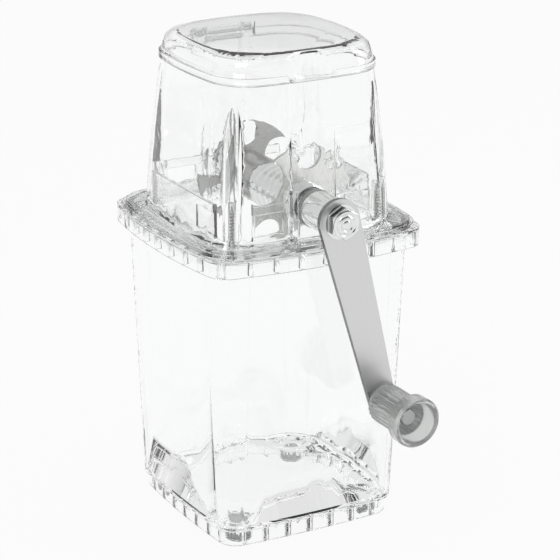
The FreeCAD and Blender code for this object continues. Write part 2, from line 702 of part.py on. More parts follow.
def make_housing():
    """The clear bell: curved walls, foot flange, screw columns, bearing towers and hinge ears."""
    corner = S["bell_corner"]
    bow = S["bell_bow"]
    wall = S["bell_wall"]
    middle = flange_top + S["bell_tall"] / 2
    stages = (
        ("low", S["bell_low_half"], flange_top),
        ("mid", S["bell_mid_half"], middle),
        ("top", S["bell_top_half"], mouth),
    )
    outer = loft("bell_outer", [bowed_square(f"bell_{n}", h, corner, bow, z) for n, h, z in stages], False)
    inner = loft(
        "bell_inner",
        [bowed_square(f"bell_inner_{n}", h - wall, corner - wall, bow, z) for n, h, z in stages],
        False,
    )
    shoe = prism(
        "shoe_block",
        bowed_square("shoe_outline", S["shoe_half"], S["shoe_corner"], S["flange_bow"], flange_top),
        S["shoe_thick"],
    )
    column_top = S["bell_tall"] - S["column_stop"]
    columns = []
    pilots = []
    for name, x, y in four_corners(S["column_place"]):
        columns.append(cylinder(f"column_{name}", S["column_radius"], column_top, x, y, flange_top))
        pilots.append(cylinder(f"pilot_{name}", S["screw_radius"] + gap, S["screw_long"], x, y, flange_top))
    towers = []
    slots = []
    deep = S["bell_low_half"] + S["bell_bow"] * 2
    for side, sign in (("front", -1), ("rear", 1)):
        span = sorted((S["tower_face"] * sign, deep * sign), key=by_number)
        towers.append(box(f"tower_{side}", (-S["tower_half"], S["tower_half"]), span, (flange_top, mouth)))
        span = sorted((S["slot_face"] * sign, deep * sign), key=by_number)
        recess_low = flange_top + S["shoe_thick"]
        slots.append(box(f"recess_{side}", (-S["slot_half"], S["slot_half"]), span, (recess_low, mouth)))
    inside = common("bell_inside", [outer, fuse("columns_and_towers", columns + towers)])
    bush = S["bush_radius"] + gap
    way = box("shaft_way", (-bush, bush), (-deep, deep), (flange_top, shaft_up))
    through = rod("bush_bore", bush, -deep, deep, z=shaft_up)

    ears = []
    for side, sign in (("left", -1), ("right", 1)):
        near = S["hinge_inner"] + S["hinge_side_gap"]
        span = sorted((near * sign, (near + S["hinge_ear"]) * sign), key=by_number)
        barrel = S["hinge_barrel"]
        ear = S["hinge_ear"]
        ear_barrel = cylinder(f"ear_barrel_{side}", barrel, ear, span[0], S["hinge_out"], hinge_up, ALONG_X)
        ear_neck = box(
            f"ear_neck_{side}",
            span,
            (S["hinge_out"] - S["hinge_barrel"], S["hinge_out"] + S["hinge_barrel"]),
            (mouth - S["column_stop"], hinge_up),
        )
        ears += [ear_barrel, ear_neck]
    ears_hollow = cylinder(
        "ear_bore", S["hinge_pin"] + gap, hinge_long, -hinge_long / 2, S["hinge_out"], hinge_up, ALONG_X
    )
    shell = cut("bell_shell", fuse("bell_and_shoe", [outer, shoe]), inner)
    block = fuse("housing_block", [shell, inside, *ears])
    finish(cut("head_housing", block, way, through, ears_hollow, *pilots, *slots), "head_housing")


def make_lid():
    """The hinged lid: rim, crowned dome, finger scoop and the middle knuckle of the hinge."""
    corner = S["lid_corner"]
    bow = S["lid_bow"]
    wall = S["lid_wall"]
    rim_outline = bowed_square("lid_outline", S["lid_half"], corner, bow, lid_low)
    rim = prism("lid_rim", rim_outline, S["lid_rim_tall"])
    round_over = S["lid_brow_radius"]
    brow = lid_top - round_over
    stages = [(S["lid_shoulder_half"], lid_shoulder)]
    inner_stages = [(S["lid_half"] - wall * 1.6, lid_low), (S["lid_shoulder_half"] - wall, lid_shoulder)]
    for step in range(4):
        back = 1 - cosine(as_size(30.0 * step))
        rise = sine(as_size(30.0 * step))
        stages.append((S["lid_brow_half"] - round_over * back, brow + round_over * rise))
        inner = round_over - wall
        inner_stages.append((S["lid_brow_half"] - wall - inner * back, brow + inner * rise))
    dome = loft("lid_dome", [bowed_square(f"lid_{i}", h, corner, bow, z) for i, (h, z) in enumerate(stages)])
    hollow = loft(
        "lid_hollow_all",
        [bowed_square(f"lid_inner_{i}", h, corner - wall, bow, z) for i, (h, z) in enumerate(inner_stages)],
    )
    scoop_y = S["scoop_deep"] - S["lid_half"] - S["scoop_radius"]
    scoop_low = lid_low + S["lid_rim_tall"] / 2
    scoop_tall = S["lid_dome_tall"] * 2
    scoop = cylinder("scoop", S["scoop_radius"], scoop_tall, NONE, scoop_y, scoop_low)
    scoop_wall = cylinder("scoop_wall", S["scoop_radius"] + wall, scoop_tall, NONE, scoop_y, lid_low)
    hollow = cut("lid_hollow", hollow, scoop_wall)

    inner = S["hinge_inner"]
    out = S["hinge_out"]
    knuckle = cylinder("lid_knuckle", S["hinge_barrel"], inner * 2, -inner, out, hinge_up, ALONG_X)
    web = box(
        "lid_web",
        (-S["hinge_inner"], S["hinge_inner"]),
        (S["lid_brow_half"] - wall / 2, S["hinge_out"]),
        (lid_low + gap * 10, hinge_up + S["hinge_pin"]),
    )
    notches = []
    for side, sign in (("left", -1), ("right", 1)):
        near = S["hinge_inner"]
        far = near + S["hinge_ear"] + S["hinge_side_gap"] * 2
        span = sorted((near * sign, far * sign), key=by_number)
        clear = S["hinge_barrel"] + S["hinge_side_gap"]
        depth = (S["lid_half"] - wall * 3, S["hinge_out"] + clear)
        notches.append(box(f"ear_notch_{side}", span, depth, (lid_low, hinge_up + clear)))
    start = -hinge_long / 2
    bore = cylinder("knuckle_bore", S["hinge_pin"] + gap, hinge_long, start, out, hinge_up, ALONG_X)
    block = fuse("lid_block", [rim, dome, knuckle, web])
    finish(cut("lid", block, hollow, scoop, bore, *notches), "lid")
    end = hinge_long / 2
    points = [(NONE, -end), (S["hinge_pin"], -end), (S["hinge_pin"], end), (NONE, end)]
    pin = turned("lid_hinge_pin", points, "XZ_Plane")
    finish(place(pin, y=S["hinge_out"], z=hinge_up, turn=ALONG_X), "lid_hinge_pin")


def make_screws():
    """Four self-tapping screws from below: one node, four solids."""
    screws = []
    pitch = S["screw_long"] / S["screw_turns"]
    count = int(S["screw_turns"].number)
    for name, x, y in four_corners(S["column_place"]):
        head_low = S["tub_tall"] - S["screw_head_thick"]
        points = [
            (NONE, head_low),
            (S["screw_head"] - S["screw_head_thick"] / 4, head_low),
            (S["screw_head"], head_low + S["screw_head_thick"] / 4),
            (S["screw_head"], S["tub_tall"]),
        ]
        for turn in range(count):
            start = S["tub_tall"] + pitch * turn
            points += [(S["screw_root"], start), (S["screw_radius"], start + pitch / 2)]
        tip = S["tub_tall"] + S["screw_long"]
        points += [(S["screw_root"], tip), (NONE, tip)]
        screws.append(place(turned(f"screw_{name}", points, "XZ_Plane"), x=x, y=y))
    group = doc.addObject("Part::Compound", "screw_group")
    group.Links = screws
    finish(group, "housing_screws")


def make_bushes():
    """The two bearing bushes: the front one open, the rear one closed by its collar."""
    bore = S["journal_radius"] + gap
    front = [
        (bore, -inner_end),
        (S["bush_radius"], -inner_end),
        (S["bush_radius"], -S["slot_face"]),
        (S["collar_radius"], -S["slot_face"]),
        (S["collar_radius"], -collar_front),
        (bore, -collar_front),
    ]
    finish(place(turned("front_bush", front), z=shaft_up), "front_bush")
    rear = [
        (bore, inner_end),
        (S["bush_radius"], inner_end),
        (S["bush_radius"], S["slot_face"]),
        (S["collar_radius"], S["slot_face"]),
        (S["collar_radius"], collar_front),
        (NONE, collar_front),
        (NONE, S["slot_face"] + gap * 4),
        (bore, S["slot_face"] + gap * 4),
    ]
    finish(place(turned("rear_bush", rear), z=shaft_up), "rear_bush")


def make_shaft():
    """The crank shaft: square between the bearings, round in them, threaded at the crank end."""
    half = S["shaft_square"] / 2
    square = box(
        "shaft_square_part",
        (-half, half),
        (-S["shaft_square_end"], S["shaft_square_end"]),
        (shaft_up - half, shaft_up + half),
    )
    end = S["shaft_square_end"]
    rear = rod("rear_journal", S["journal_radius"], end, S["slot_face"], z=shaft_up)
    front = rod("front_journal", S["journal_radius"], -arm_back, -end, z=shaft_up)
    stud = rod("stud", S["stud_radius"], -(washer_front + S["nut_thick"]), -arm_back, z=shaft_up)
    finish(fuse("crank_shaft", [square, rear, front, stud]), "crank_shaft")


def make_blade(name, y, bites):
    """A flat steel disc with a square hole and round bites, each given as its kind and angle."""
    body = new_body(f"{name}_disc")
    disc = plane_sketch(body, f"{name}_round")
    draw_circles(disc, [(NONE, NONE, S["blade_radius"])])
    padded(body, disc, S["blade_thick"], f"{name}_plate")
    doc.recompute()
    circles = []
    for kind, at in bites:
        out = S[f"{kind}_bite_out"]
        circles.append((out * cosine(S[at]), out * sine(S[at]), S[f"{kind}_bite"]))
    bite_sketch = plane_sketch(body, f"{name}_bites")
    draw_circles(bite_sketch, circles)
    pocket = body.newObject("PartDesign::Pocket", f"{name}_bite_cut")
    pocket.Profile = bite_sketch
    pocket.Midplane = True
    bind(pocket, Length=S["blade_thick"] * 2)
    place(body, y=y, z=shaft_up)
    side = S["shaft_square"] / 2 + gap
    deep = S["blade_thick"]
    hole = box(f"{name}_hole", (-side, side), (y - deep, y + deep), (shaft_up - side, shaft_up + side))
    finish(cut(name, body, hole), name)


def lean(thing, angle):
    """Turns a thing about the shaft's axis by an angle from the sheet."""
    thing.Placement.Rotation = FreeCAD.Rotation(-Y_AXIS, angle.number)
    thing.setExpression("Placement.Rotation.Angle", f"{angle.text} * 1 deg")


def place_keeping_turn(thing, **spot):
    return place(thing, turn=thing.Placement.Rotation, **spot)


def make_blades():
    rear_bites = (
        ("side", "rear_side_at"),
        ("deep", "rear_deep_top_at"),
        ("wide", "rear_wide_left_at"),
        ("deep", "rear_deep_left_at"),
        ("wide", "rear_wide_low_at"),
        ("deep", "rear_deep_right_at"),
    )
    front_bites = (
        ("small", "front_small_at"),
        ("round", "front_round_top_at"),
        ("wide", "front_wide_left_at"),
        ("round", "front_round_left_at"),
        ("wide", "front_wide_low_at"),
        ("round", "front_round_right_at"),
    )
    make_blade("rear_blade", S["blade_rear"], rear_bites)
    make_blade("front_blade", blade_front, front_bites)


def ribbed(radius, deep, count, start, end):
    """The outline of a spacer with round-edged rings along it."""
    pitch = (end - start) / count
    points = [(S["spacer_bore"], start)]
    for step in range(int(count.number)):
        near = start + pitch * step
        points += [
            (radius - deep, near),
            (radius - deep, near + pitch * 0.2),
            (radius, near + pitch * 0.4),
            (radius, near + pitch * 0.8),
        ]
    return points + [(radius - deep, end), (S["spacer_bore"], end)]


def make_spacers():
    """The four spacers that hold the blades in place, from the rear bush to the front bush."""
    half = S["blade_thick"] / 2
    rear = S["blade_rear"]
    bore = S["spacer_bore"]
    bush_end = inner_end - gap * 4
    drum_start = rear - half - S["drum_long"]
    tail = ring("rear_spacer", S["tail_radius"], bore, rear + half, bush_end, z=shaft_up)
    finish(tail, "rear_spacer")
    drum = ring("drum_spacer", S["drum_radius"], bore, drum_start, rear - half, z=shaft_up)
    finish(drum, "drum_spacer")
    outline = ribbed(S["ring_radius"], S["ring_deep"], S["ring_count"], blade_front + half, drum_start)
    finish(place(turned("ribbed_spacer", outline), z=shaft_up), "ribbed_spacer")
    outline = ribbed(S["nose_radius"], S["ring_deep"] / 2, S["nose_count"], -bush_end, blade_front - half)
    finish(place(turned("front_spacer", outline), z=shaft_up), "front_spacer")


def make_crank():
    """The hub tube, arm, washer and domed nut at the end of the shaft."""
    bore = S["journal_radius"] + gap
    finish(ring("hub_tube", S["hub_radius"], bore, -arm_back, -hub_back, z=shaft_up), "hub_tube")

    arm = new_body("crank_arm")
    sketch = plane_sketch(arm, "arm_outline")
    top = S["arm_top_radius"]
    low = S["arm_low_radius"]
    long = S["arm_long"]
    slope = math.asin((top.number - low.number) / long.number)
    middle = FreeCAD.Vector(0, 0, 0)
    foot = FreeCAD.Vector(0, -long.number, 0)
    top_arc = Part.ArcOfCircle(Part.Circle(middle, Z_AXIS, top.number), -slope, math.pi + slope)
    low_arc = Part.ArcOfCircle(Part.Circle(foot, Z_AXIS, low.number), math.pi + slope, 2 * math.pi - slope)
    sketch.addGeometry(top_arc, False)
    sketch.addGeometry(Part.LineSegment(top_arc.EndPoint, low_arc.StartPoint), False)
    sketch.addGeometry(low_arc, False)
    sketch.addGeometry(Part.LineSegment(low_arc.EndPoint, top_arc.StartPoint), False)
    for item in range(4):
        sketch.addConstraint(Sketcher.Constraint("Tangent", item, 2, (item + 1) % 4, 1))
    pin_point(sketch, 0, 3, NONE, NONE)
    pin_point(sketch, 2, 3, NONE, -long)
    pin_radius(sketch, 0, top)
    pin_radius(sketch, 2, low)
    padded(arm, sketch, S["arm_thick"], "arm_plate")
    doc.recompute()
    holes = plane_sketch(arm, "arm_holes")
    draw_circles(holes, [(NONE, NONE, S["stud_radius"] + gap), (NONE, -long, S["pin_radius"] + gap)])
    drill = arm.newObject("PartDesign::Pocket", "arm_drill")
    drill.Profile = holes
    drill.Midplane = True
    bind(drill, Length=S["arm_thick"] * 2)
    lean(arm, S["arm_lean"])
    finish(place_keeping_turn(arm, y=-(arm_back + arm_front) / 2, z=shaft_up), "crank_arm")

    washer = ring(
        "crank_washer", S["washer_radius"], S["stud_radius"] + gap, -washer_front, -arm_front, z=shaft_up
    )
    finish(washer, "crank_washer")
    across = S["nut_flats"] / 2
    edge = across / cosine(as_size(30.0))
    nut_front = washer_front + S["nut_thick"]
    dome = S["nut_dome"]
    hexagon = new_body("nut_hexagon")
    nut_sketch = plane_sketch(hexagon, "nut_outline")
    angles = [as_size(60.0 * step + 30.0) for step in range(6)]
    draw_outline(nut_sketch, [(edge * cosine(a), edge * sine(a)) for a in angles])
    padded(hexagon, nut_sketch, S["nut_thick"], "nut_block")
    place(hexagon, y=-(washer_front + nut_front) / 2, z=shaft_up)
    cap = turned(
        "nut_cap",
        [
            (NONE, -(nut_front - dome / 2)),
            (across, -(nut_front - dome / 2)),
            (across, -nut_front),
            (across - dome, -(nut_front + dome / 2)),
            (across / 2, -(nut_front + dome)),
            (NONE, -(nut_front + dome)),
        ],
    )
    place(cap, z=shaft_up)
    bore = rod("nut_bore", S["stud_radius"] + gap, -(nut_front + gap), -washer_front, z=shaft_up)
    finish(cut("crank_nut", fuse("nut_solid", [hexagon, cap]), bore), "crank_nut")


def make_knob():
    """The knob, its riveted pin and the washer behind it."""
    radius = S["pin_radius"]
    head_back = web_front + S["knob_gap"]
    head_front = head_back + S["pin_head_thick"]
    pin = [
        (NONE, -head_front),
        (S["pin_head_radius"] - gap * 10, -head_front),
        (S["pin_head_radius"], -(head_front - gap * 10)),
        (S["pin_head_radius"], -head_back),
        (radius, -head_back),
        (radius, -arm_back),
        (S["rivet_radius"], -arm_back),
        (S["rivet_radius"] - S["rivet_thick"] / 2, S["rivet_thick"] - arm_back),
        (NONE, S["rivet_thick"] - arm_back),
    ]
    finish(place(turned("knob_pin", pin), x=pin_x, z=pin_z), "knob_pin")
    washer_end = arm_front + S["knob_washer_thick"]
    washer = ring("knob_washer", S["knob_washer_radius"], radius + gap, -washer_end, -arm_front, pin_x, pin_z)
    finish(washer, "knob_washer")

    ring_back = knob_front - S["knob_ring_long"]
    soft = S["knob_wall"] / 3
    grip = S["knob_grip_radius"]
    outer = S["knob_ring_radius"]
    cup = outer - S["knob_wall"]
    outline = [
        (radius + gap, -knob_back),
        (grip - soft, -knob_back),
        (grip, -(knob_back + soft)),
        (grip, -ring_back),
        (outer - soft, -(ring_back + soft)),
        (outer, -(ring_back + soft * 2)),
        (outer, -(knob_front - soft)),
        (outer - soft, -knob_front),
        (cup + soft, -knob_front),
        (cup, -(knob_front - soft)),
        (cup - soft, -web_front),
        (radius + gap, -web_front),
    ]
    blank = place(turned("knob_blank", outline), x=pin_x, z=pin_z)
    flutes = []
    count = int(S["knob_flutes"].number)
    for step in range(count):
        angle = as_size(FULL_TURN * step) / S["knob_flutes"]
        x = pin_x + grip * cosine(angle)
        z = pin_z + grip * sine(angle)
        flutes.append(rod(f"flute_{step}", S["flute_radius"], -(ring_back - soft), -(knob_back - soft), x, z))
    finish(cut("crank_knob", blank, *flutes), "crank_knob")


def check_and_write():
    """Stops on any failed object or bad shape, and writes each piece to its own file."""
    doc.recompute()
    for thing in doc.Objects:
        if "Invalid" in thing.State or "Error" in thing.State:
            raise RuntimeError(f"{thing.Name} failed: {thing.State}")
    os.makedirs("parts", exist_ok=True)
    for piece in pieces:
        shape = piece.Shape
        if shape.isNull() or not shape.isValid() or not shape.Solids:
            raise RuntimeError(f"{piece.Label} has no valid solid")
        box_now = shape.BoundBox
        print(
            f"{piece.Label}: {len(shape.Solids)} solid, {shape.Volume:.0f} mm3,"
            f" x {box_now.XMin:.1f} {box_now.XMax:.1f} y {box_now.YMin:.1f} {box_now.YMax:.1f}"
            f" z {box_now.ZMin:.1f} {box_now.ZMax:.1f}"
        )
        shape.exportStep(f"parts/{piece.Label}.step")


make_tub()
make_head_base()
make_housing()
make_lid()
make_screws()
make_bushes()
make_shaft()
make_blades()
make_spacers()
make_crank()
make_knob()
check_and_write()
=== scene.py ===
import math

import bmesh
import bpy
from bpy.props import FloatProperty, FloatVectorProperty, IntProperty, PointerProperty
from mathutils import Matrix, Vector


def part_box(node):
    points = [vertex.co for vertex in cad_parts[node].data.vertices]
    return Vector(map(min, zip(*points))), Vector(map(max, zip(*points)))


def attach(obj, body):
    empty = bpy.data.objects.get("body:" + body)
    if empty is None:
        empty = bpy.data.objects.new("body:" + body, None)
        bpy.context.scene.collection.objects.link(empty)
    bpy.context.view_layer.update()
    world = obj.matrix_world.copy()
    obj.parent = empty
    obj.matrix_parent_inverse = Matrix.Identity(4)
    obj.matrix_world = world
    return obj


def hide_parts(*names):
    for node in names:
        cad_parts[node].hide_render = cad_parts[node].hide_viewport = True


bl_info = {
    "name": "Ice crusher dresser",
    "version": (1, 0, 0),
    "blender": (4, 5, 0),
    "location": "3D View > Sidebar > Crusher",
    "description": "Gives a hand-cranked ice crusher its clear plastic, steel and chrome",
    "category": "Object",
}

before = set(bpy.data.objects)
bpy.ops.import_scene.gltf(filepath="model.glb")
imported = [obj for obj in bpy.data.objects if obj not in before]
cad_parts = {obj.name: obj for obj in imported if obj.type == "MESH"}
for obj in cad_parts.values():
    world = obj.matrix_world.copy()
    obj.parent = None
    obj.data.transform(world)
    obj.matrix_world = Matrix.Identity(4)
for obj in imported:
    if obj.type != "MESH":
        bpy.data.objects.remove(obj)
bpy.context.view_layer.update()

FULL_TURN = 2 * math.pi
Z_AXIS = Vector((0, 0, 1))
Y_AXIS = Vector((0, 1, 0))

# Corners of a mesh that are closer than this are one corner
WELD = 0.000001

# Angles between two faces: below FLAT they are one flat, below CURVE one curve, and above CREASE the
# shading breaks. Outer edges above SHARP are rounded
FLAT = math.radians(0.3)
CURVE = math.radians(20)
CREASE = math.radians(35)
SHARP = math.radians(40)

# Rounds of faces on a rounded edge
EDGE_STEPS = 3

# Share of its colour that a surface keeps where it is worn or between brushed lines
WORN = 0.94
WORN_CHROME = 0.93

# Refraction of the cloudy plastic and the soft pads, and how much rougher they are where worn
CLOUDY_BEND = 1.45
CLOUDY_WEAR = 0.15

# Detail per metre: grain of a moulded face and lines of a brushed one
FINE_SCALE = 900.0

# How much higher the ripples stand outside a moulding's clear span
BAND_RIPPLE = 3.0

# Heights between which a moulding is clearest
CLEAR_TUB = (0.003, 0.156)
CLEAR_HOUSING = (0.1665, 0.2445)

# How far the arm leans from upright at rest
ARM_LEAN = math.radians(15)

# Each blade's direction of grinding, and its share of the steel's colour: the rear blade darker and the
# front one lighter, as painted shade and painted light on the same steel
BLADE_LOOKS = {
    "rear_blade": (math.radians(20), 0.85),
    "front_blade": (math.radians(65), 1.45),
}

# The nut's cap from its rim to its tip: shares of the radius, and of the height in front of the hexagon
NUT_CAP = (
    (0.99, -0.30),
    (0.99, 0.22),
    (0.92, 0.46),
    (0.80, 0.50),
    (0.73, 0.22),
    (0.67, 0.22),
    (0.59, 0.62),
    (0.48, 0.76),
    (0.41, 0.50),
    (0.34, 0.50),
    (0.26, 0.86),
    (0.12, 1.00),
    (0.00, 1.00),
)
NUT_CAP_SIDES = 48

# The studio: lamps, what they point at, the floor and the camera's sensor
LAMP_AIM = Vector((0.0, 0.0, 0.13))
KEY_PLACE = Vector((-1.1, -0.9, 1.5))
KEY_SIZE = (0.9, 0.9)
FILL_PLACE = Vector((1.3, -0.6, 0.9))
FILL_SIZE = (0.6, 1.0)
FLOOR_DROP = 0.0003
SENSOR_WIDTH = 36.0
CLEAR_BOUNCES = 40
METAL_BOUNCES = 8

# How bright the studio looks to metal, by height: the sine of the angle above the horizon
BACK_BANDS = (
    (-1.00, 0.70),
    (-0.10, 0.66),
    (0.10, 0.70),
    (0.17, 0.16),
    (0.22, 0.45),
    (0.30, 0.80),
    (0.42, 1.00),
    (1.00, 1.00),
)
FRONT_BANDS = (
    (-1.00, 0.85),
    (0.10, 0.90),
    (0.34, 0.62),
    (0.46, 0.05),
    (0.62, 0.05),
    (0.74, 0.80),
    (1.00, 1.00),
)

screws_low, screws_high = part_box("housing_screws")
nut_low, nut_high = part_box("crank_nut")


class PlasticLook(bpy.types.PropertyGroup):
    tint: FloatVectorProperty(
        name="Tint",
        description="What each face of the clear plastic lets through",
        default=(0.989, 0.994, 0.992),
        size=3,
        min=0.0,
        max=1.0,
        subtype="COLOR",
    )
    bend: FloatProperty(
        name="Refraction",
        description="Index of refraction of the clear plastic",
        default=1.49,
        min=1.0,
        max=2.0,
    )
    haze: FloatProperty(
        name="Haze",
        description="Roughness of the moulded faces",
        default=0.012,
        min=0.0,
        max=1.0,
        subtype="FACTOR",
    )
    ripple: FloatProperty(
        name="Ripple",
        description="Height of the slow ripples that moulding leaves",
        default=0.00006,
        min=0.0,
        max=0.001,
        precision=6,
        unit="LENGTH",
    )
    edge: FloatProperty(
        name="Edge rounding",
        description="Rounding of the moulded edges",
        default=0.00035,
        min=0.0,
        precision=5,
        unit="LENGTH",
    )
    shadow: FloatVectorProperty(
        name="Shadow",
        description="What each face lets through on the way to a lamp",
        default=(0.95, 0.96, 0.96),
        size=3,
        min=0.0,
        max=1.0,
        subtype="COLOR",
    )
    clearance: FloatProperty(
        name="Clearance",
        description="How far a clear piece stands back from what it touches",
        default=0.00004,
        min=0.0,
        precision=6,
        unit="LENGTH",
    )
    milk: FloatVectorProperty(
        name="Milky plastic",
        description="Colour of the bearing bushes and the knob",
        default=(0.95, 0.96, 0.95),
        size=3,
        min=0.0,
        max=1.0,
        subtype="COLOR",
    )
    pad: FloatVectorProperty(
        name="Foot pads",
        description="Colour of the soft pads under the tub",
        default=(0.96, 0.97, 0.97),
        size=3,
        min=0.0,
        max=1.0,
        subtype="COLOR",
    )


class MetalLook(bpy.types.PropertyGroup):
    chrome: FloatVectorProperty(
        name="Chrome",
        description="Colour of the plated parts, and a little darker of the turned ones",
        default=(0.80, 0.82, 0.81),
        size=3,
        min=0.0,
        max=1.0,
        subtype="COLOR",
    )
    # The blades take this steel darker and lighter, as painted shade and painted light
    steel: FloatVectorProperty(
        name="Stainless steel",
        description="Colour of the drum spacer and, lighter or darker, of the blades",
        default=(0.58, 0.58, 0.57),
        size=3,
        min=0.0,
        max=1.0,
        subtype="COLOR",
    )
    satin: FloatVectorProperty(
        name="Satin steel",
        description="Colour of the crank arm",
        default=(0.70, 0.70, 0.70),
        size=3,
        min=0.0,
        max=1.0,
        subtype="COLOR",
    )
    zinc: FloatVectorProperty(
        name="Zinc",
        description="Colour of the screws",
        default=(0.44, 0.44, 0.43),
        size=3,
        min=0.0,
        max=1.0,
        subtype="COLOR",
    )


class ScrewSizes(bpy.types.PropertyGroup):
    crest: FloatProperty(
        name="Crest radius",
        description="Radius over the thread",
        default=0.0018,
        min=0.0005,
        unit="LENGTH",
    )
    root: FloatProperty(
        name="Root radius",
        description="Radius of the core under the thread",
        default=0.0012,
        min=0.0003,
        unit="LENGTH",
    )
    pitch: FloatProperty(
        name="Pitch",
        description="Rise of the thread in one turn",
        default=0.0017,
        min=0.0002,
        unit="LENGTH",
    )
    point: FloatProperty(
        name="Point",
        description="Length of the tapered tip",
        default=0.0028,
        min=0.0,
        unit="LENGTH",
    )
    head_radius: FloatProperty(
        name="Head radius",
        description="Radius of the pan head",
        default=0.0034,
        min=0.001,
        unit="LENGTH",
    )
    head_thick: FloatProperty(
        name="Head thickness",
        description="Thickness of the pan head",
        default=0.0022,
        min=0.0005,
        unit="LENGTH",
    )
    sides: IntProperty(
        name="Sides",
        description="Faces round the screw",
        default=24,
        min=8,
        max=64,
    )


class NutSizes(bpy.types.PropertyGroup):
    flats: FloatProperty(
        name="Across the flats",
        description="Width of the hexagon",
        default=0.0148,
        min=0.004,
        unit="LENGTH",
    )
    hex_thick: FloatProperty(
        name="Hexagon height",
        description="Height of the hexagon",
        default=0.0046,
        min=0.001,
        unit="LENGTH",
    )
    edge_round: FloatProperty(
        name="Edge rounding",
        description="Rounding of the hexagon's edges",
        default=0.0005,
        min=0.0,
        unit="LENGTH",
    )


class StageLook(bpy.types.PropertyGroup):
    camera_place: FloatVectorProperty(
        name="Camera place",
        description="Where the photograph was taken from",
        default=(-0.56426, -1.02657, 0.53641),
        size=3,
        unit="LENGTH",
    )
    azimuth: FloatProperty(
        name="Azimuth",
        description="Camera's turn round the crusher",
        default=math.radians(-29.1615),
        subtype="ANGLE",
    )
    elevation: FloatProperty(
        name="Elevation",
        description="Camera's height above the horizon, as an angle",
        default=math.radians(19.3291),
        subtype="ANGLE",
    )
    roll: FloatProperty(
        name="Roll",
        description="Camera's turn about its own line of sight",
        default=math.radians(0.2027),
        subtype="ANGLE",
    )
    lens: FloatProperty(
        name="Lens",
        description="Focal length in millimetres on a 36 mm wide sensor",
        default=149.92,
        min=20.0,
    )
    floor_reach: FloatProperty(
        name="Floor",
        description="Half width of the floor",
        default=6.0,
        min=1.0,
        unit="LENGTH",
    )
    floor_white: FloatProperty(
        name="Floor white",
        description="How white the floor's own colour is",
        default=0.95,
        min=0.0,
        max=1.0,
        subtype="FACTOR",
    )
    backdrop_share: FloatProperty(
        name="Backdrop share",
        description="How much of the floor is plain backdrop white, the rest keeps the shadow",
        default=0.93,
        min=0.0,
        max=1.0,
        subtype="FACTOR",
    )
    glass_white: FloatProperty(
        name="White through glass",
        description="How much of the grey bands is washed out where they are seen through the plastic",
        default=0.95,
        min=0.0,
        max=1.0,
        subtype="FACTOR",
    )
    room: FloatProperty(
        name="Room light",
        description="Strength of the even light from all round",
        default=0.55,
        min=0.0,
    )
    key: FloatProperty(
        name="Key lamp",
        description="Power of the large soft lamp at the upper left",
        default=9.0,
        min=0.0,
        unit="POWER",
    )
    fill: FloatProperty(
        name="Fill lamp",
        description="Power of the soft lamp at the right",
        default=4.0,
        min=0.0,
        unit="POWER",
    )


class CrusherSettings(bpy.types.PropertyGroup):
    plastic: PointerProperty(type=PlasticLook)
    metal: PointerProperty(type=MetalLook)
    screws: PointerProperty(type=ScrewSizes)
    nut: PointerProperty(type=NutSizes)
    stage: PointerProperty(type=StageLook)


def settings():
    return bpy.context.scene.crusher


def new_group(name, inputs, outputs):
    """A shader node group with these sockets, its node tree, and its input and output nodes."""
    tree = bpy.data.node_groups.new(name, "ShaderNodeTree")
    for label, kind, value in inputs:
        socket = tree.interface.new_socket(name=label, in_out="INPUT", socket_type=kind)
        socket.default_value = value
    for label, kind in outputs:
        tree.interface.new_socket(name=label, in_out="OUTPUT", socket_type=kind)
    return tree, tree.nodes.new("NodeGroupInput"), tree.nodes.new("NodeGroupOutput")


def put(tree, kind, **values):
    """A node in a tree, with its input values by socket name."""
    node = tree.nodes.new(kind)
    for name, value in values.items():
        node.inputs[name.replace("_", " ")].default_value = value
    return node


def calculated(tree, operation, first, second=None, clamp=False):
    """What a math node makes of one or two values, which are numbers or outputs of other nodes."""
    node = tree.nodes.new("ShaderNodeMath")
    node.operation = operation
    node.use_clamp = clamp
    for place, value in enumerate((first, second)):
        if isinstance(value, bpy.types.NodeSocket):
            tree.links.new(value, node.inputs[place])
        elif value is not None:
            node.inputs[place].default_value = value
    return node.outputs["Value"]


def mixed_colour(tree, factor, first, second):
    """Goes from one colour to another. Each is a colour or an output of another node."""
    node = tree.nodes.new("ShaderNodeMix")
    node.data_type = "RGBA"
    tree.links.new(factor, node.inputs["Factor"])
    for label, value in (("A", first), ("B", second)):
        if isinstance(value, bpy.types.NodeSocket):
            tree.links.new(value, node.inputs[label])
        else:
            node.inputs[label].default_value = (*value, 1.0)
    return node.outputs["Result"]


def mixed_shader(tree, factor, first, second):
    """Goes from one shader to another."""
    node = tree.nodes.new("ShaderNodeMixShader")
    tree.links.new(factor, node.inputs["Fac"])
    tree.links.new(first, node.inputs[1])
    tree.links.new(second, node.inputs[2])
    return node.outputs["Shader"]


def noise(tree, vector, scale, **values):
    """A noise over a vector. The scale is a number or an output of another node."""
    node = put(tree, "ShaderNodeTexNoise", **values)
    tree.links.new(vector, node.inputs["Vector"])
    if isinstance(scale, bpy.types.NodeSocket):
        tree.links.new(scale, node.inputs["Scale"])
    else:
        node.inputs["Scale"].default_value = scale
    return node.outputs["Fac"]


def bump(tree, distance, height, strength=1.0):
    """A bump node whose distance and height are outputs of other nodes."""
    node = put(tree, "ShaderNodeBump", Strength=strength)
    tree.links.new(distance, node.inputs["Distance"])
    tree.links.new(height, node.inputs["Height"])
    return node


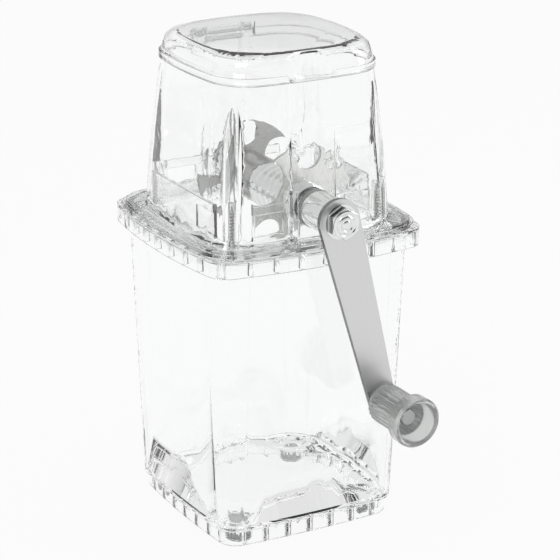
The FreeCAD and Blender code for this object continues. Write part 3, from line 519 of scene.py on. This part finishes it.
def ripple_group():
    """Slow ripples and fine grain over a moulded or plated face, as a normal."""
    name = "moulded_ripple"
    if name in bpy.data.node_groups:
        return bpy.data.node_groups[name]
    tree, start, end = new_group(
        name,
        [
            ("Scale", "NodeSocketFloat", 40.0),
            ("Height", "NodeSocketFloat", 0.00006),
            ("Fine Height", "NodeSocketFloat", 0.000002),
            ("Amount", "NodeSocketFloat", 1.0),
        ],
        [("Normal", "NodeSocketVector")],
    )
    place = put(tree, "ShaderNodeTexCoord").outputs["Object"]
    slow = noise(tree, place, start.outputs["Scale"], Detail=1.0, Roughness=0.4)
    level = calculated(tree, "MULTIPLY", slow, start.outputs["Amount"])
    fine = noise(tree, place, FINE_SCALE, Detail=2.0)
    slow_bump = bump(tree, start.outputs["Height"], level)
    fine_bump = bump(tree, start.outputs["Fine Height"], fine)
    tree.links.new(slow_bump.outputs["Normal"], fine_bump.inputs["Normal"])
    tree.links.new(fine_bump.outputs["Normal"], end.inputs["Normal"])
    return tree


def brushed_group():
    """Fine lines drawn along one direction: a mask and a normal."""
    name = "brushed_lines"
    if name in bpy.data.node_groups:
        return bpy.data.node_groups[name]
    tree, start, end = new_group(
        name,
        [
            ("Turn", "NodeSocketVector", (0.0, 0.0, 0.0)),
            ("Stretch", "NodeSocketVector", (1.0, 1.0, 1.0)),
            ("Scale", "NodeSocketFloat", 1500.0),
            ("Height", "NodeSocketFloat", 0.00001),
        ],
        [("Lines", "NodeSocketFloat"), ("Normal", "NodeSocketVector")],
    )
    place = put(tree, "ShaderNodeTexCoord")
    turn = put(tree, "ShaderNodeVectorRotate")
    turn.rotation_type = "EULER_XYZ"
    tree.links.new(place.outputs["Object"], turn.inputs["Vector"])
    tree.links.new(start.outputs["Turn"], turn.inputs["Rotation"])
    stretched = put(tree, "ShaderNodeVectorMath")
    stretched.operation = "MULTIPLY"
    tree.links.new(turn.outputs["Vector"], stretched.inputs[0])
    tree.links.new(start.outputs["Stretch"], stretched.inputs[1])
    lines = noise(tree, stretched.outputs["Vector"], start.outputs["Scale"], Detail=3.0, Roughness=0.6)
    grooves = bump(tree, start.outputs["Height"], lines, strength=0.6)
    tree.links.new(lines, end.inputs["Lines"])
    tree.links.new(grooves.outputs["Normal"], end.inputs["Normal"])
    return tree


def handling_group():
    """Faint smears and specks from handling, as a mask from 0 to 1."""
    name = "handling_marks"
    if name in bpy.data.node_groups:
        return bpy.data.node_groups[name]
    tree, start, end = new_group(
        name,
        [("Scale", "NodeSocketFloat", 60.0)],
        [("Mask", "NodeSocketFloat")],
    )
    place = put(tree, "ShaderNodeTexCoord").outputs["Object"]
    smear = noise(tree, place, start.outputs["Scale"], Detail=4.0, Roughness=0.65)
    sharp = put(tree, "ShaderNodeMapRange", From_Min=0.45, From_Max=0.75)
    tree.links.new(smear, sharp.inputs["Value"])
    tree.links.new(sharp.outputs["Result"], end.inputs["Mask"])
    return tree


def band_group():
    """1 near the two ends of a moulding's height, 0 between them."""
    name = "end_bands"
    if name in bpy.data.node_groups:
        return bpy.data.node_groups[name]
    tree, start, end = new_group(
        name,
        [
            ("Low", "NodeSocketFloat", 0.0),
            ("High", "NodeSocketFloat", 1.0),
            ("Soft", "NodeSocketFloat", 0.002),
        ],
        [("Mask", "NodeSocketFloat")],
    )
    place = put(tree, "ShaderNodeTexCoord")
    split = put(tree, "ShaderNodeSeparateXYZ")
    tree.links.new(place.outputs["Object"], split.inputs["Vector"])
    height = split.outputs["Z"]
    below = calculated(tree, "SUBTRACT", start.outputs["Low"], height)
    above = calculated(tree, "SUBTRACT", height, start.outputs["High"])
    foot = calculated(tree, "DIVIDE", below, start.outputs["Soft"], clamp=True)
    top = calculated(tree, "DIVIDE", above, start.outputs["Soft"], clamp=True)
    tree.links.new(calculated(tree, "MAXIMUM", foot, top), end.inputs["Mask"])
    return tree


def painted_side_shade_group():
    """Painted shade mask: 1 where a surface doesn't face along Y, such as the cut edge of a plate that
    lies across Y, and 0 on its faces.
    """
    name = "sheared_edge"
    if name in bpy.data.node_groups:
        return bpy.data.node_groups[name]
    tree, start, end = new_group(name, [("Face", "NodeSocketFloat", 0.7)], [("Mask", "NodeSocketFloat")])
    place = put(tree, "ShaderNodeTexCoord")
    split = put(tree, "ShaderNodeSeparateXYZ")
    tree.links.new(place.outputs["Normal"], split.inputs["Vector"])
    edge = put(tree, "ShaderNodeMapRange", To_Min=1.0, To_Max=0.0)
    tree.links.new(start.outputs["Face"], edge.inputs["From Max"])
    tree.links.new(calculated(tree, "ABSOLUTE", split.outputs["Y"]), edge.inputs["Value"])
    tree.links.new(edge.outputs["Result"], end.inputs["Mask"])
    return tree


def add_group(tree, group, **values):
    """A shared effect placed in a material, with its own values."""
    node = tree.nodes.new("ShaderNodeGroup")
    node.node_tree = group
    for name, value in values.items():
        node.inputs[name.replace("_", " ")].default_value = value
    return node


def blank_material(name):
    """A material with a Principled shader and its output, and nothing else."""
    material = bpy.data.materials.new(name)
    material.use_nodes = True
    tree = material.node_tree
    tree.nodes.clear()
    output = tree.nodes.new("ShaderNodeOutputMaterial")
    shader = tree.nodes.new("ShaderNodeBsdfPrincipled")
    tree.links.new(shader.outputs["BSDF"], output.inputs["Surface"])
    return material, tree, shader, output


def darker(colour, share):
    """A share of a colour. Above 1 it is lighter."""
    return tuple(channel * share for channel in colour)


def mapped(tree, mask, low, high):
    """A value that goes from low, where the mask is 0, to high, where it is 1."""
    spread = put(tree, "ShaderNodeMapRange", To_Min=low, To_Max=high)
    tree.links.new(mask, spread.inputs["Value"])
    return spread.outputs["Result"]


def clear_plastic(name, ripple_scale, ripple_share, haze_share, clear_span=(-1.0, 1.0), band_haze=0.1):
    """Clear moulded plastic, cloudier and wavier above and below its clear span.

    Rays to the lamps pass straight through, which keeps the shadow light.
    """
    look = settings().plastic
    material, tree, shader, output = blank_material(name)
    shader.inputs["Base Color"].default_value = (*look.tint, 1.0)
    shader.inputs["IOR"].default_value = look.bend
    shader.inputs["Transmission Weight"].default_value = 1.0
    low, high = clear_span
    band = add_group(tree, band_group(), Low=low, High=high).outputs["Mask"]
    marks = add_group(tree, handling_group(), Scale=55.0).outputs["Mask"]
    haze = look.haze * haze_share
    worn_haze = mapped(tree, marks, haze * 0.5, haze)
    rough = calculated(tree, "ADD", worn_haze, mapped(tree, band, 0.0, band_haze))
    tree.links.new(rough, shader.inputs["Roughness"])
    ripple = add_group(tree, ripple_group(), Scale=ripple_scale, Height=look.ripple * ripple_share)
    tree.links.new(mapped(tree, band, 1.0, BAND_RIPPLE), ripple.inputs["Amount"])
    tree.links.new(ripple.outputs["Normal"], shader.inputs["Normal"])
    through = tree.nodes.new("ShaderNodeBsdfTransparent")
    through.inputs["Color"].default_value = (*look.shadow, 1.0)
    to_lamp = tree.nodes.new("ShaderNodeLightPath").outputs["Is Shadow Ray"]
    surface = mixed_shader(tree, to_lamp, shader.outputs["BSDF"], through.outputs["BSDF"])
    tree.links.new(surface, output.inputs["Surface"])
    return material


def metal_with_painted_sides(tree, shader, mask, low, high, side):
    """Base colour from low to high with a mask, and one colour, painted shade, where the surface doesn't
    face along Y.
    """
    face = mixed_colour(tree, mask, low, high)
    side_shade_mask = add_group(tree, painted_side_shade_group()).outputs["Mask"]
    tree.links.new(mixed_colour(tree, side_shade_mask, face, side), shader.inputs["Base Color"])


def plated(name, colour, roughness, side=1.0):
    """Bright plating, rougher in its faint handling marks. Side darkens what doesn't face along Y, as
    painted shade.
    """
    material, tree, shader, _ = blank_material(name)
    shader.inputs["Metallic"].default_value = 1.0
    marks = add_group(tree, handling_group(), Scale=260.0).outputs["Mask"]
    tree.links.new(mapped(tree, marks, *roughness), shader.inputs["Roughness"])
    worn = darker(colour, WORN_CHROME)
    metal_with_painted_sides(tree, shader, marks, tuple(colour), worn, darker(colour, side))
    ripple = add_group(tree, ripple_group(), Scale=160.0, Height=0.000004, Fine_Height=0.0000004)
    tree.links.new(ripple.outputs["Normal"], shader.inputs["Normal"])
    return material


def brushed(name, colour, turn, stretch, roughness, height=0.000004, edge=1.0):
    """Steel with fine lines along one direction. Edge darkens the cut edges of a plate, as painted shade.
    """
    material, tree, shader, _ = blank_material(name)
    shader.inputs["Metallic"].default_value = 1.0
    effect = add_group(
        tree,
        brushed_group(),
        Turn=turn,
        Stretch=stretch,
        Scale=FINE_SCALE,
        Height=height,
    )
    lines = effect.outputs["Lines"]
    tree.links.new(mapped(tree, lines, *roughness), shader.inputs["Roughness"])
    metal_with_painted_sides(tree, shader, lines, darker(colour, WORN), tuple(colour), darker(colour, edge))
    tree.links.new(effect.outputs["Normal"], shader.inputs["Normal"])
    return material


def lathe_turned(name, colour, roughness):
    """Steel from the lathe, with fine lines round the shaft."""
    return brushed(name, colour, (0.0, 0.0, 0.0), (0.15, 1.0, 0.15), roughness)


def milky(name, colour, clear, roughness):
    """Cloudy plastic or soft rubber that lets some light through."""
    material, tree, shader, _ = blank_material(name)
    shader.inputs["Transmission Weight"].default_value = clear
    shader.inputs["IOR"].default_value = CLOUDY_BEND
    marks = add_group(tree, handling_group(), Scale=300.0).outputs["Mask"]
    rough = mapped(tree, marks, roughness, roughness + CLOUDY_WEAR)
    tree.links.new(rough, shader.inputs["Roughness"])
    worn = mixed_colour(tree, marks, tuple(colour), darker(colour, WORN))
    tree.links.new(worn, shader.inputs["Base Color"])
    ripple = add_group(tree, ripple_group(), Scale=220.0, Height=0.00002, Fine_Height=0.000004)
    tree.links.new(ripple.outputs["Normal"], shader.inputs["Normal"])
    return material


def dress(node, material):
    """Puts one material on a CAD node through its object's slots."""
    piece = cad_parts[node]
    if not piece.material_slots:
        piece.data.materials.append(None)
    for place in piece.material_slots:
        place.link = "OBJECT"
        place.material = material


def new_piece(name, mesh_maker, material, body, replaced=()):
    """A mesh piece that rides on a body, made by a function that fills a bmesh."""
    bm = bmesh.new()
    mesh_maker(bm)
    bmesh.ops.recalc_face_normals(bm, faces=bm.faces)
    mesh = bpy.data.meshes.new(name)
    bm.to_mesh(mesh)
    bm.free()
    piece = bpy.data.objects.new(name, mesh)
    bpy.context.scene.collection.objects.link(piece)
    mesh.materials.append(material)
    mesh.set_sharp_from_angle(angle=CREASE)
    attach(piece, body)
    if replaced:
        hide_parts(*replaced)
    return piece


def fill_rounded_copy(bm, node, edge, clearance):
    """A welded copy of a CAD node with its outer edges rounded, standing back a hair all over."""
    bm.from_mesh(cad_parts[node].data)
    bmesh.ops.remove_doubles(bm, verts=bm.verts, dist=WELD)
    bmesh.ops.recalc_face_normals(bm, faces=bm.faces)
    for face in bm.faces:
        face.smooth = any(FLAT < side.calc_face_angle(0) < CURVE for side in face.edges)
    sharp = [side for side in bm.edges if side.is_convex and side.calc_face_angle(0) > SHARP]
    made = bmesh.ops.bevel(
        bm,
        geom=sharp,
        offset=edge,
        offset_type="OFFSET",
        segments=EDGE_STEPS,
        profile=0.5,
        affect="EDGES",
        clamp_overlap=False,
        loop_slide=True,
        material=-1,
    )
    for face in made["faces"]:
        face.smooth = True
    bm.normal_update()
    for vert in bm.verts:
        vert.co -= vert.normal * clearance


def rounded_shell(name, node, material, body, edge_share=1.0):
    """The rounded copy of a clear node as a piece of its own, with even shading on its flat faces."""
    look = settings().plastic

    def fill(bm):
        fill_rounded_copy(bm, node, look.edge * edge_share, look.clearance)

    piece = new_piece(name, fill, material, body, [node])
    weighted = piece.modifiers.new("even_flats", "WEIGHTED_NORMAL")
    weighted.keep_sharp = True
    return piece


def spin_outline(bm, points, centre, axis, sides):
    """Spins a chain of points once round an axis and welds it, poles included."""
    corners = [bm.verts.new(point) for point in points]
    edges = [bm.edges.new(pair) for pair in zip(corners, corners[1:])]
    bmesh.ops.spin(
        bm,
        geom=corners + edges,
        cent=centre,
        axis=axis,
        angle=FULL_TURN,
        steps=sides,
        use_merge=True,
    )
    bmesh.ops.remove_doubles(bm, verts=bm.verts, dist=WELD)


def screw_thread(bm, centre, low, high, sizes):
    """A ridge that climbs round a screw from low to high, its foot sunk in the core."""
    half = sizes.pitch * 0.34
    sunk = sizes.root * 0.9
    x, y = centre
    corners = [(x + sunk, y, low - half), (x + sizes.crest, y, low), (x + sunk, y, low + half)]
    ridge = bm.faces.new([bm.verts.new(corner) for corner in corners])
    turns = (high - low) / sizes.pitch
    steps = max(1, round(turns * sizes.sides))
    bmesh.ops.spin(
        bm,
        geom=[ridge],
        cent=(x, y, 0),
        axis=Z_AXIS,
        dvec=(0, 0, (high - low) / steps),
        angle=FULL_TURN * turns,
        steps=steps,
        use_merge=False,
    )


def fill_screws(bm):
    """Four pan-headed screws, standing where the frame has them."""
    sizes = settings().screws
    out = (screws_high.x - screws_low.x) / 2 - sizes.head_radius
    base = screws_low.z
    under = base + sizes.head_thick
    top = screws_high.z
    soft = sizes.head_thick * 0.35
    tip = sizes.root * 0.25
    corners = ((-out, -out), (out, -out), (out, out), (-out, out))
    for x, y in corners:
        outline = [
            (x, y, base),
            (x + sizes.head_radius - soft, y, base),
            (x + sizes.head_radius, y, base + soft),
            (x + sizes.head_radius, y, under),
            (x + sizes.root, y, under),
            (x + sizes.root, y, top - sizes.point),
            (x + tip, y, top),
            (x, y, top),
        ]
        spin_outline(bm, outline, (x, y, 0), Z_AXIS, sizes.sides)
    for corner in corners:
        screw_thread(bm, corner, under + sizes.pitch, top - sizes.point, sizes)
    for face in bm.faces:
        face.smooth = True


def fill_nut(bm):
    """A hexagon with rounded edges and a round, stepped cap."""
    sizes = settings().nut
    centre = (nut_low + nut_high) / 2
    back = nut_high.y
    front = back - sizes.hex_thick
    middle = Vector((centre.x, (back + front) / 2, centre.z))
    to_corner = sizes.flats / math.sqrt(3)
    made = bmesh.ops.create_cone(
        bm,
        cap_ends=True,
        segments=6,
        radius1=to_corner,
        radius2=to_corner,
        depth=sizes.hex_thick,
        matrix=Matrix.Translation(middle) @ Matrix.Rotation(math.pi / 2, 4, "X"),
    )
    edges = {edge for vert in made["verts"] for edge in vert.link_edges}
    bmesh.ops.bevel(
        bm,
        geom=list(edges),
        offset=sizes.edge_round,
        offset_type="OFFSET",
        segments=EDGE_STEPS,
        profile=0.5,
        affect="EDGES",
        material=-1,
    )
    rim = sizes.flats / 2
    cap = front - nut_low.y
    outline = [(centre.x + rim * out, front - cap * ahead, centre.z) for out, ahead in NUT_CAP]
    spin_outline(bm, outline, (centre.x, 0, centre.z), Y_AXIS, NUT_CAP_SIDES)
    for face in bm.faces:
        face.smooth = True


class CrusherOperator:
    """What the piece operators share."""

    bl_options = {"REGISTER", "UNDO"}


class CRUSHER_OT_clear_shells(CrusherOperator, bpy.types.Operator):
    """Clear plastic on the tub, the head and the lid"""

    bl_idname = "crusher.clear_shells"
    bl_label = "Clear shells"

    def execute(self, context):
        tub = clear_plastic(
            "clear_tub",
            ripple_scale=26.0,
            ripple_share=0.15,
            haze_share=1.0,
            clear_span=CLEAR_TUB,
            band_haze=0.1,
        )
        base = clear_plastic("clear_base", ripple_scale=60.0, ripple_share=0.3, haze_share=10.0)
        housing = clear_plastic(
            "clear_housing",
            ripple_scale=34.0,
            ripple_share=0.6,
            haze_share=1.5,
            clear_span=CLEAR_HOUSING,
            band_haze=0.16,
        )
        lid = clear_plastic("clear_lid", ripple_scale=42.0, ripple_share=0.8, haze_share=3.0)
        rounded_shell("moulded_tub", "ice_tub", tub, "tub")
        rounded_shell("moulded_base", "head_base", base, "head")
        rounded_shell("moulded_housing", "head_housing", housing, "head")
        rounded_shell("moulded_lid", "lid", lid, "lid")
        return {"FINISHED"}


class CRUSHER_OT_foot_pads(CrusherOperator, bpy.types.Operator):
    """Soft milky pads under the tub's corners"""

    bl_idname = "crusher.foot_pads"
    bl_label = "Foot pads"

    def execute(self, context):
        look = milky("soft_pad", settings().plastic.pad, clear=0.35, roughness=0.3)
        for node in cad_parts:
            if node.startswith("foot_pad"):
                dress(node, look)
        return {"FINISHED"}


class CRUSHER_OT_bushes(CrusherOperator, bpy.types.Operator):
    """Milky bearing bushes in the two towers"""

    bl_idname = "crusher.bushes"
    bl_label = "Bearing bushes"

    def execute(self, context):
        look = milky("milky_bush", settings().plastic.milk, clear=0.6, roughness=0.12)
        dress("front_bush", look)
        dress("rear_bush", look)
        return {"FINISHED"}


class CRUSHER_OT_blades(CrusherOperator, bpy.types.Operator):
    """Brushed stainless steel on the two blades"""

    bl_idname = "crusher.blades"
    bl_label = "Blades"

    def execute(self, context):
        steel = settings().metal.steel
        lines = (0.05, 1.0, 1.0)
        # Each share darkens or lightens the same steel as painted shade and painted light, and edge
        # darkens the cut edges as painted shade
        for node, (lean, share) in BLADE_LOOKS.items():
            turn = (0.0, lean, 0.0)
            ground = brushed(f"steel_{node}", darker(steel, share), turn, lines, (0.2, 0.32), edge=0.55)
            dress(node, ground)
        return {"FINISHED"}


class CRUSHER_OT_shaft(CrusherOperator, bpy.types.Operator):
    """Bright turned steel on the shaft and its spacers, dull on the drum"""

    bl_idname = "crusher.shaft"
    bl_label = "Shaft and spacers"

    def execute(self, context):
        metal = settings().metal
        bright = lathe_turned("turned_steel", darker(metal.chrome, 0.92), (0.05, 0.13))
        for node in ("crank_shaft", "rear_spacer", "ribbed_spacer", "front_spacer"):
            dress(node, bright)
        dress("drum_spacer", lathe_turned("dull_steel", darker(metal.steel, 0.75), (0.24, 0.36)))
        return {"FINISHED"}


class CRUSHER_OT_crank(CrusherOperator, bpy.types.Operator):
    """Chrome hub tube and washer, satin arm"""

    bl_idname = "crusher.crank"
    bl_label = "Crank"

    def execute(self, context):
        metal = settings().metal
        chrome = plated("chrome", metal.chrome, (0.04, 0.12))
        for node in ("hub_tube", "crank_washer", "knob_washer"):
            dress(node, chrome)
        turn = (0.0, ARM_LEAN, 0.0)
        lines = (1.0, 1.0, 0.02)
        # edge=0.35 darkens the arm's cut edges as painted shade
        satin = brushed("satin_arm", metal.satin, turn, lines, (0.3, 0.36), height=0.000001, edge=0.35)
        dress("crank_arm", satin)
        return {"FINISHED"}


class CRUSHER_OT_nut(CrusherOperator, bpy.types.Operator):
    """Chrome nut with a stepped cap on the end of the shaft"""

    bl_idname = "crusher.nut"
    bl_label = "Crank nut"

    def execute(self, context):
        # side=0.22 paints the hexagon's sides and the cap's sloped rings dark: a painted dark reflection
        chrome = plated("chrome_nut", settings().metal.chrome, (0.05, 0.14), side=0.22)
        new_piece("cap_nut", fill_nut, chrome, "crank", ["crank_nut"])
        return {"FINISHED"}


class CRUSHER_OT_screws(CrusherOperator, bpy.types.Operator):
    """Four threaded screws that hold the housing on its base"""

    bl_idname = "crusher.screws"
    bl_label = "Housing screws"

    def execute(self, context):
        zinc = plated("zinc_screw", settings().metal.zinc, (0.18, 0.34))
        new_piece("threaded_screws", fill_screws, zinc, "head", ["housing_screws"])
        return {"FINISHED"}


class CRUSHER_OT_knob(CrusherOperator, bpy.types.Operator):
    """Cloudy knob, its steel pin and the hinge pin"""

    bl_idname = "crusher.knob"
    bl_label = "Knob and pins"

    def execute(self, context):
        metal = settings().metal
        knob = milky("cloudy_knob", settings().plastic.milk, clear=0.8, roughness=0.12)
        rounded_shell("moulded_knob", "crank_knob", knob, "knob", edge_share=0.5)
        dress("knob_pin", plated("pin_steel", darker(metal.chrome, 0.5), (0.2, 0.34)))
        dress("lid_hinge_pin", plated("hinge_steel", darker(metal.chrome, 0.8), (0.12, 0.25)))
        return {"FINISHED"}


def backdrop_rays(tree):
    """1 for rays of sight, straight or by way of metal and glass, and 0 for rays that carry light."""
    path = tree.nodes.new("ShaderNodeLightPath")
    seen = calculated(tree, "MAXIMUM", path.outputs["Is Camera Ray"], path.outputs["Is Glossy Ray"])
    return path, calculated(tree, "MAXIMUM", seen, path.outputs["Is Transmission Ray"])


def make_floor(stage):
    """A pale floor that shows as white and keeps part of the shadow."""
    bpy.ops.mesh.primitive_plane_add(size=stage.floor_reach * 2, location=-FLOOR_DROP * Z_AXIS)
    floor = bpy.context.object
    floor.name = "pale_floor"
    material = bpy.data.materials.new("pale_floor")
    material.use_nodes = True
    tree = material.node_tree
    tree.nodes.clear()
    output = tree.nodes.new("ShaderNodeOutputMaterial")
    plain = tree.nodes.new("ShaderNodeBsdfDiffuse")
    white = stage.floor_white
    plain.inputs["Color"].default_value = (white, white, white, 1.0)
    glow = tree.nodes.new("ShaderNodeEmission")
    glow.inputs["Strength"].default_value = 1.0
    _, seen = backdrop_rays(tree)
    share = calculated(tree, "MULTIPLY", seen, stage.backdrop_share)
    surface = mixed_shader(tree, share, plain.outputs["BSDF"], glow.outputs["Emission"])
    tree.links.new(surface, output.inputs["Surface"])
    floor.data.materials.append(material)


def height_ramp(tree, height, bands):
    """A grey by height, from a list of bands."""
    ramp = tree.nodes.new("ShaderNodeValToRGB")
    ramp.color_ramp.interpolation = "EASE"
    stops = ramp.color_ramp.elements
    while len(stops) > 1:
        stops.remove(stops[-1])
    for number, (level, grey) in enumerate(bands):
        stop = stops[0] if number == 0 else stops.new((level + 1) / 2)
        stop.position = (level + 1) / 2
        stop.color = (grey, grey, grey, 1.0)
    tree.links.new(height, ramp.inputs["Fac"])
    return ramp.outputs["Color"]


def make_world(stage):
    """Even white light, a white backdrop, and grey bands that metal and glass pick up."""
    world = bpy.data.worlds.new("soft_studio")
    bpy.context.scene.world = world
    world.use_nodes = True
    tree = world.node_tree
    tree.nodes.clear()
    output = tree.nodes.new("ShaderNodeOutputWorld")
    place = tree.nodes.new("ShaderNodeTexCoord")
    split = tree.nodes.new("ShaderNodeSeparateXYZ")
    tree.links.new(place.outputs["Generated"], split.inputs["Vector"])
    height = put(tree, "ShaderNodeMapRange", From_Min=-1.0)
    tree.links.new(split.outputs["Z"], height.inputs["Value"])
    back = height_ramp(tree, height.outputs["Result"], BACK_BANDS)
    front = height_ramp(tree, height.outputs["Result"], FRONT_BANDS)
    behind = put(tree, "ShaderNodeMapRange", From_Min=-0.2, From_Max=0.3)
    tree.links.new(split.outputs["Y"], behind.inputs["Value"])
    bands = tree.nodes.new("ShaderNodeBackground")
    seen_by_metal = mixed_colour(tree, behind.outputs["Result"], front, back)
    tree.links.new(seen_by_metal, bands.inputs["Color"])
    white = tree.nodes.new("ShaderNodeBackground")
    room = tree.nodes.new("ShaderNodeBackground")
    room.inputs["Strength"].default_value = stage.room
    path, seen = backdrop_rays(tree)
    reflected = mixed_shader(tree, seen, room.outputs["Background"], bands.outputs["Background"])
    glass = calculated(tree, "MULTIPLY", path.outputs["Is Transmission Ray"], stage.glass_white)
    plain = calculated(tree, "MAXIMUM", glass, path.outputs["Is Camera Ray"])
    surface = mixed_shader(tree, plain, reflected, white.outputs["Background"])
    tree.links.new(surface, output.inputs["Surface"])


def add_lamp(name, place, size, power):
    """A soft lamp that points at the crusher."""
    data = bpy.data.lights.new(name, "AREA")
    data.shape = "RECTANGLE"
    data.size, data.size_y = size
    data.energy = power
    lamp = bpy.data.objects.new(name, data)
    bpy.context.scene.collection.objects.link(lamp)
    lamp.location = place
    lamp.rotation_euler = (LAMP_AIM - place).to_track_quat("-Z", "Y").to_euler()


def make_camera(stage):
    """The photograph's camera."""
    data = bpy.data.cameras.new("photo_camera")
    data.sensor_fit = "HORIZONTAL"
    data.sensor_width = SENSOR_WIDTH
    data.lens = stage.lens
    camera = bpy.data.objects.new("photo_camera", data)
    bpy.context.scene.collection.objects.link(camera)
    turn = (
        Matrix.Rotation(stage.azimuth, 4, "Z")
        @ Matrix.Rotation(math.pi / 2 - stage.elevation, 4, "X")
        @ Matrix.Rotation(stage.roll, 4, "Z")
    )
    camera.matrix_world = Matrix.Translation(stage.camera_place) @ turn
    bpy.context.scene.camera = camera


class CRUSHER_OT_stage(CrusherOperator, bpy.types.Operator):
    """Pale floor, soft lamps, white backdrop and the photograph's camera"""

    bl_idname = "crusher.stage"
    bl_label = "Stage"

    def execute(self, context):
        stage = settings().stage
        scene = context.scene
        make_floor(stage)
        make_world(stage)
        add_lamp("key_lamp", KEY_PLACE, KEY_SIZE, stage.key)
        add_lamp("fill_lamp", FILL_PLACE, FILL_SIZE, stage.fill)
        make_camera(stage)
        scene.view_settings.view_transform = "Standard"
        scene.cycles.max_bounces = CLEAR_BOUNCES
        scene.cycles.transmission_bounces = CLEAR_BOUNCES
        scene.cycles.transparent_max_bounces = CLEAR_BOUNCES
        scene.cycles.glossy_bounces = METAL_BOUNCES
        scene.cycles.caustics_reflective = False
        scene.cycles.caustics_refractive = False
        return {"FINISHED"}


PIECES = (
    CRUSHER_OT_clear_shells,
    CRUSHER_OT_foot_pads,
    CRUSHER_OT_bushes,
    CRUSHER_OT_blades,
    CRUSHER_OT_shaft,
    CRUSHER_OT_crank,
    CRUSHER_OT_nut,
    CRUSHER_OT_screws,
    CRUSHER_OT_knob,
    CRUSHER_OT_stage,
)


class CRUSHER_PT_panel(bpy.types.Panel):
    """Lists the crusher's pieces and its stage"""

    bl_idname = "CRUSHER_PT_panel"
    bl_label = "Ice crusher"
    bl_space_type = "VIEW_3D"
    bl_region_type = "UI"
    bl_category = "Crusher"

    def draw(self, context):
        for piece in PIECES:
            self.layout.operator(piece.bl_idname)


CLASSES = (
    PlasticLook,
    MetalLook,
    ScrewSizes,
    NutSizes,
    StageLook,
    CrusherSettings,
    *PIECES,
    CRUSHER_PT_panel,
)


def register():
    for item in CLASSES:
        bpy.utils.register_class(item)
    bpy.types.Scene.crusher = PointerProperty(type=CrusherSettings)


def unregister():
    del bpy.types.Scene.crusher
    for item in reversed(CLASSES):
        bpy.utils.unregister_class(item)


def main():
    register()
    bpy.ops.crusher.clear_shells()
    bpy.ops.crusher.foot_pads()
    bpy.ops.crusher.bushes()
    bpy.ops.crusher.blades()
    bpy.ops.crusher.shaft()
    bpy.ops.crusher.crank()
    bpy.ops.crusher.nut()
    bpy.ops.crusher.screws()
    bpy.ops.crusher.knob()
    bpy.ops.crusher.stage()


if __name__ == "__main__":
    main()
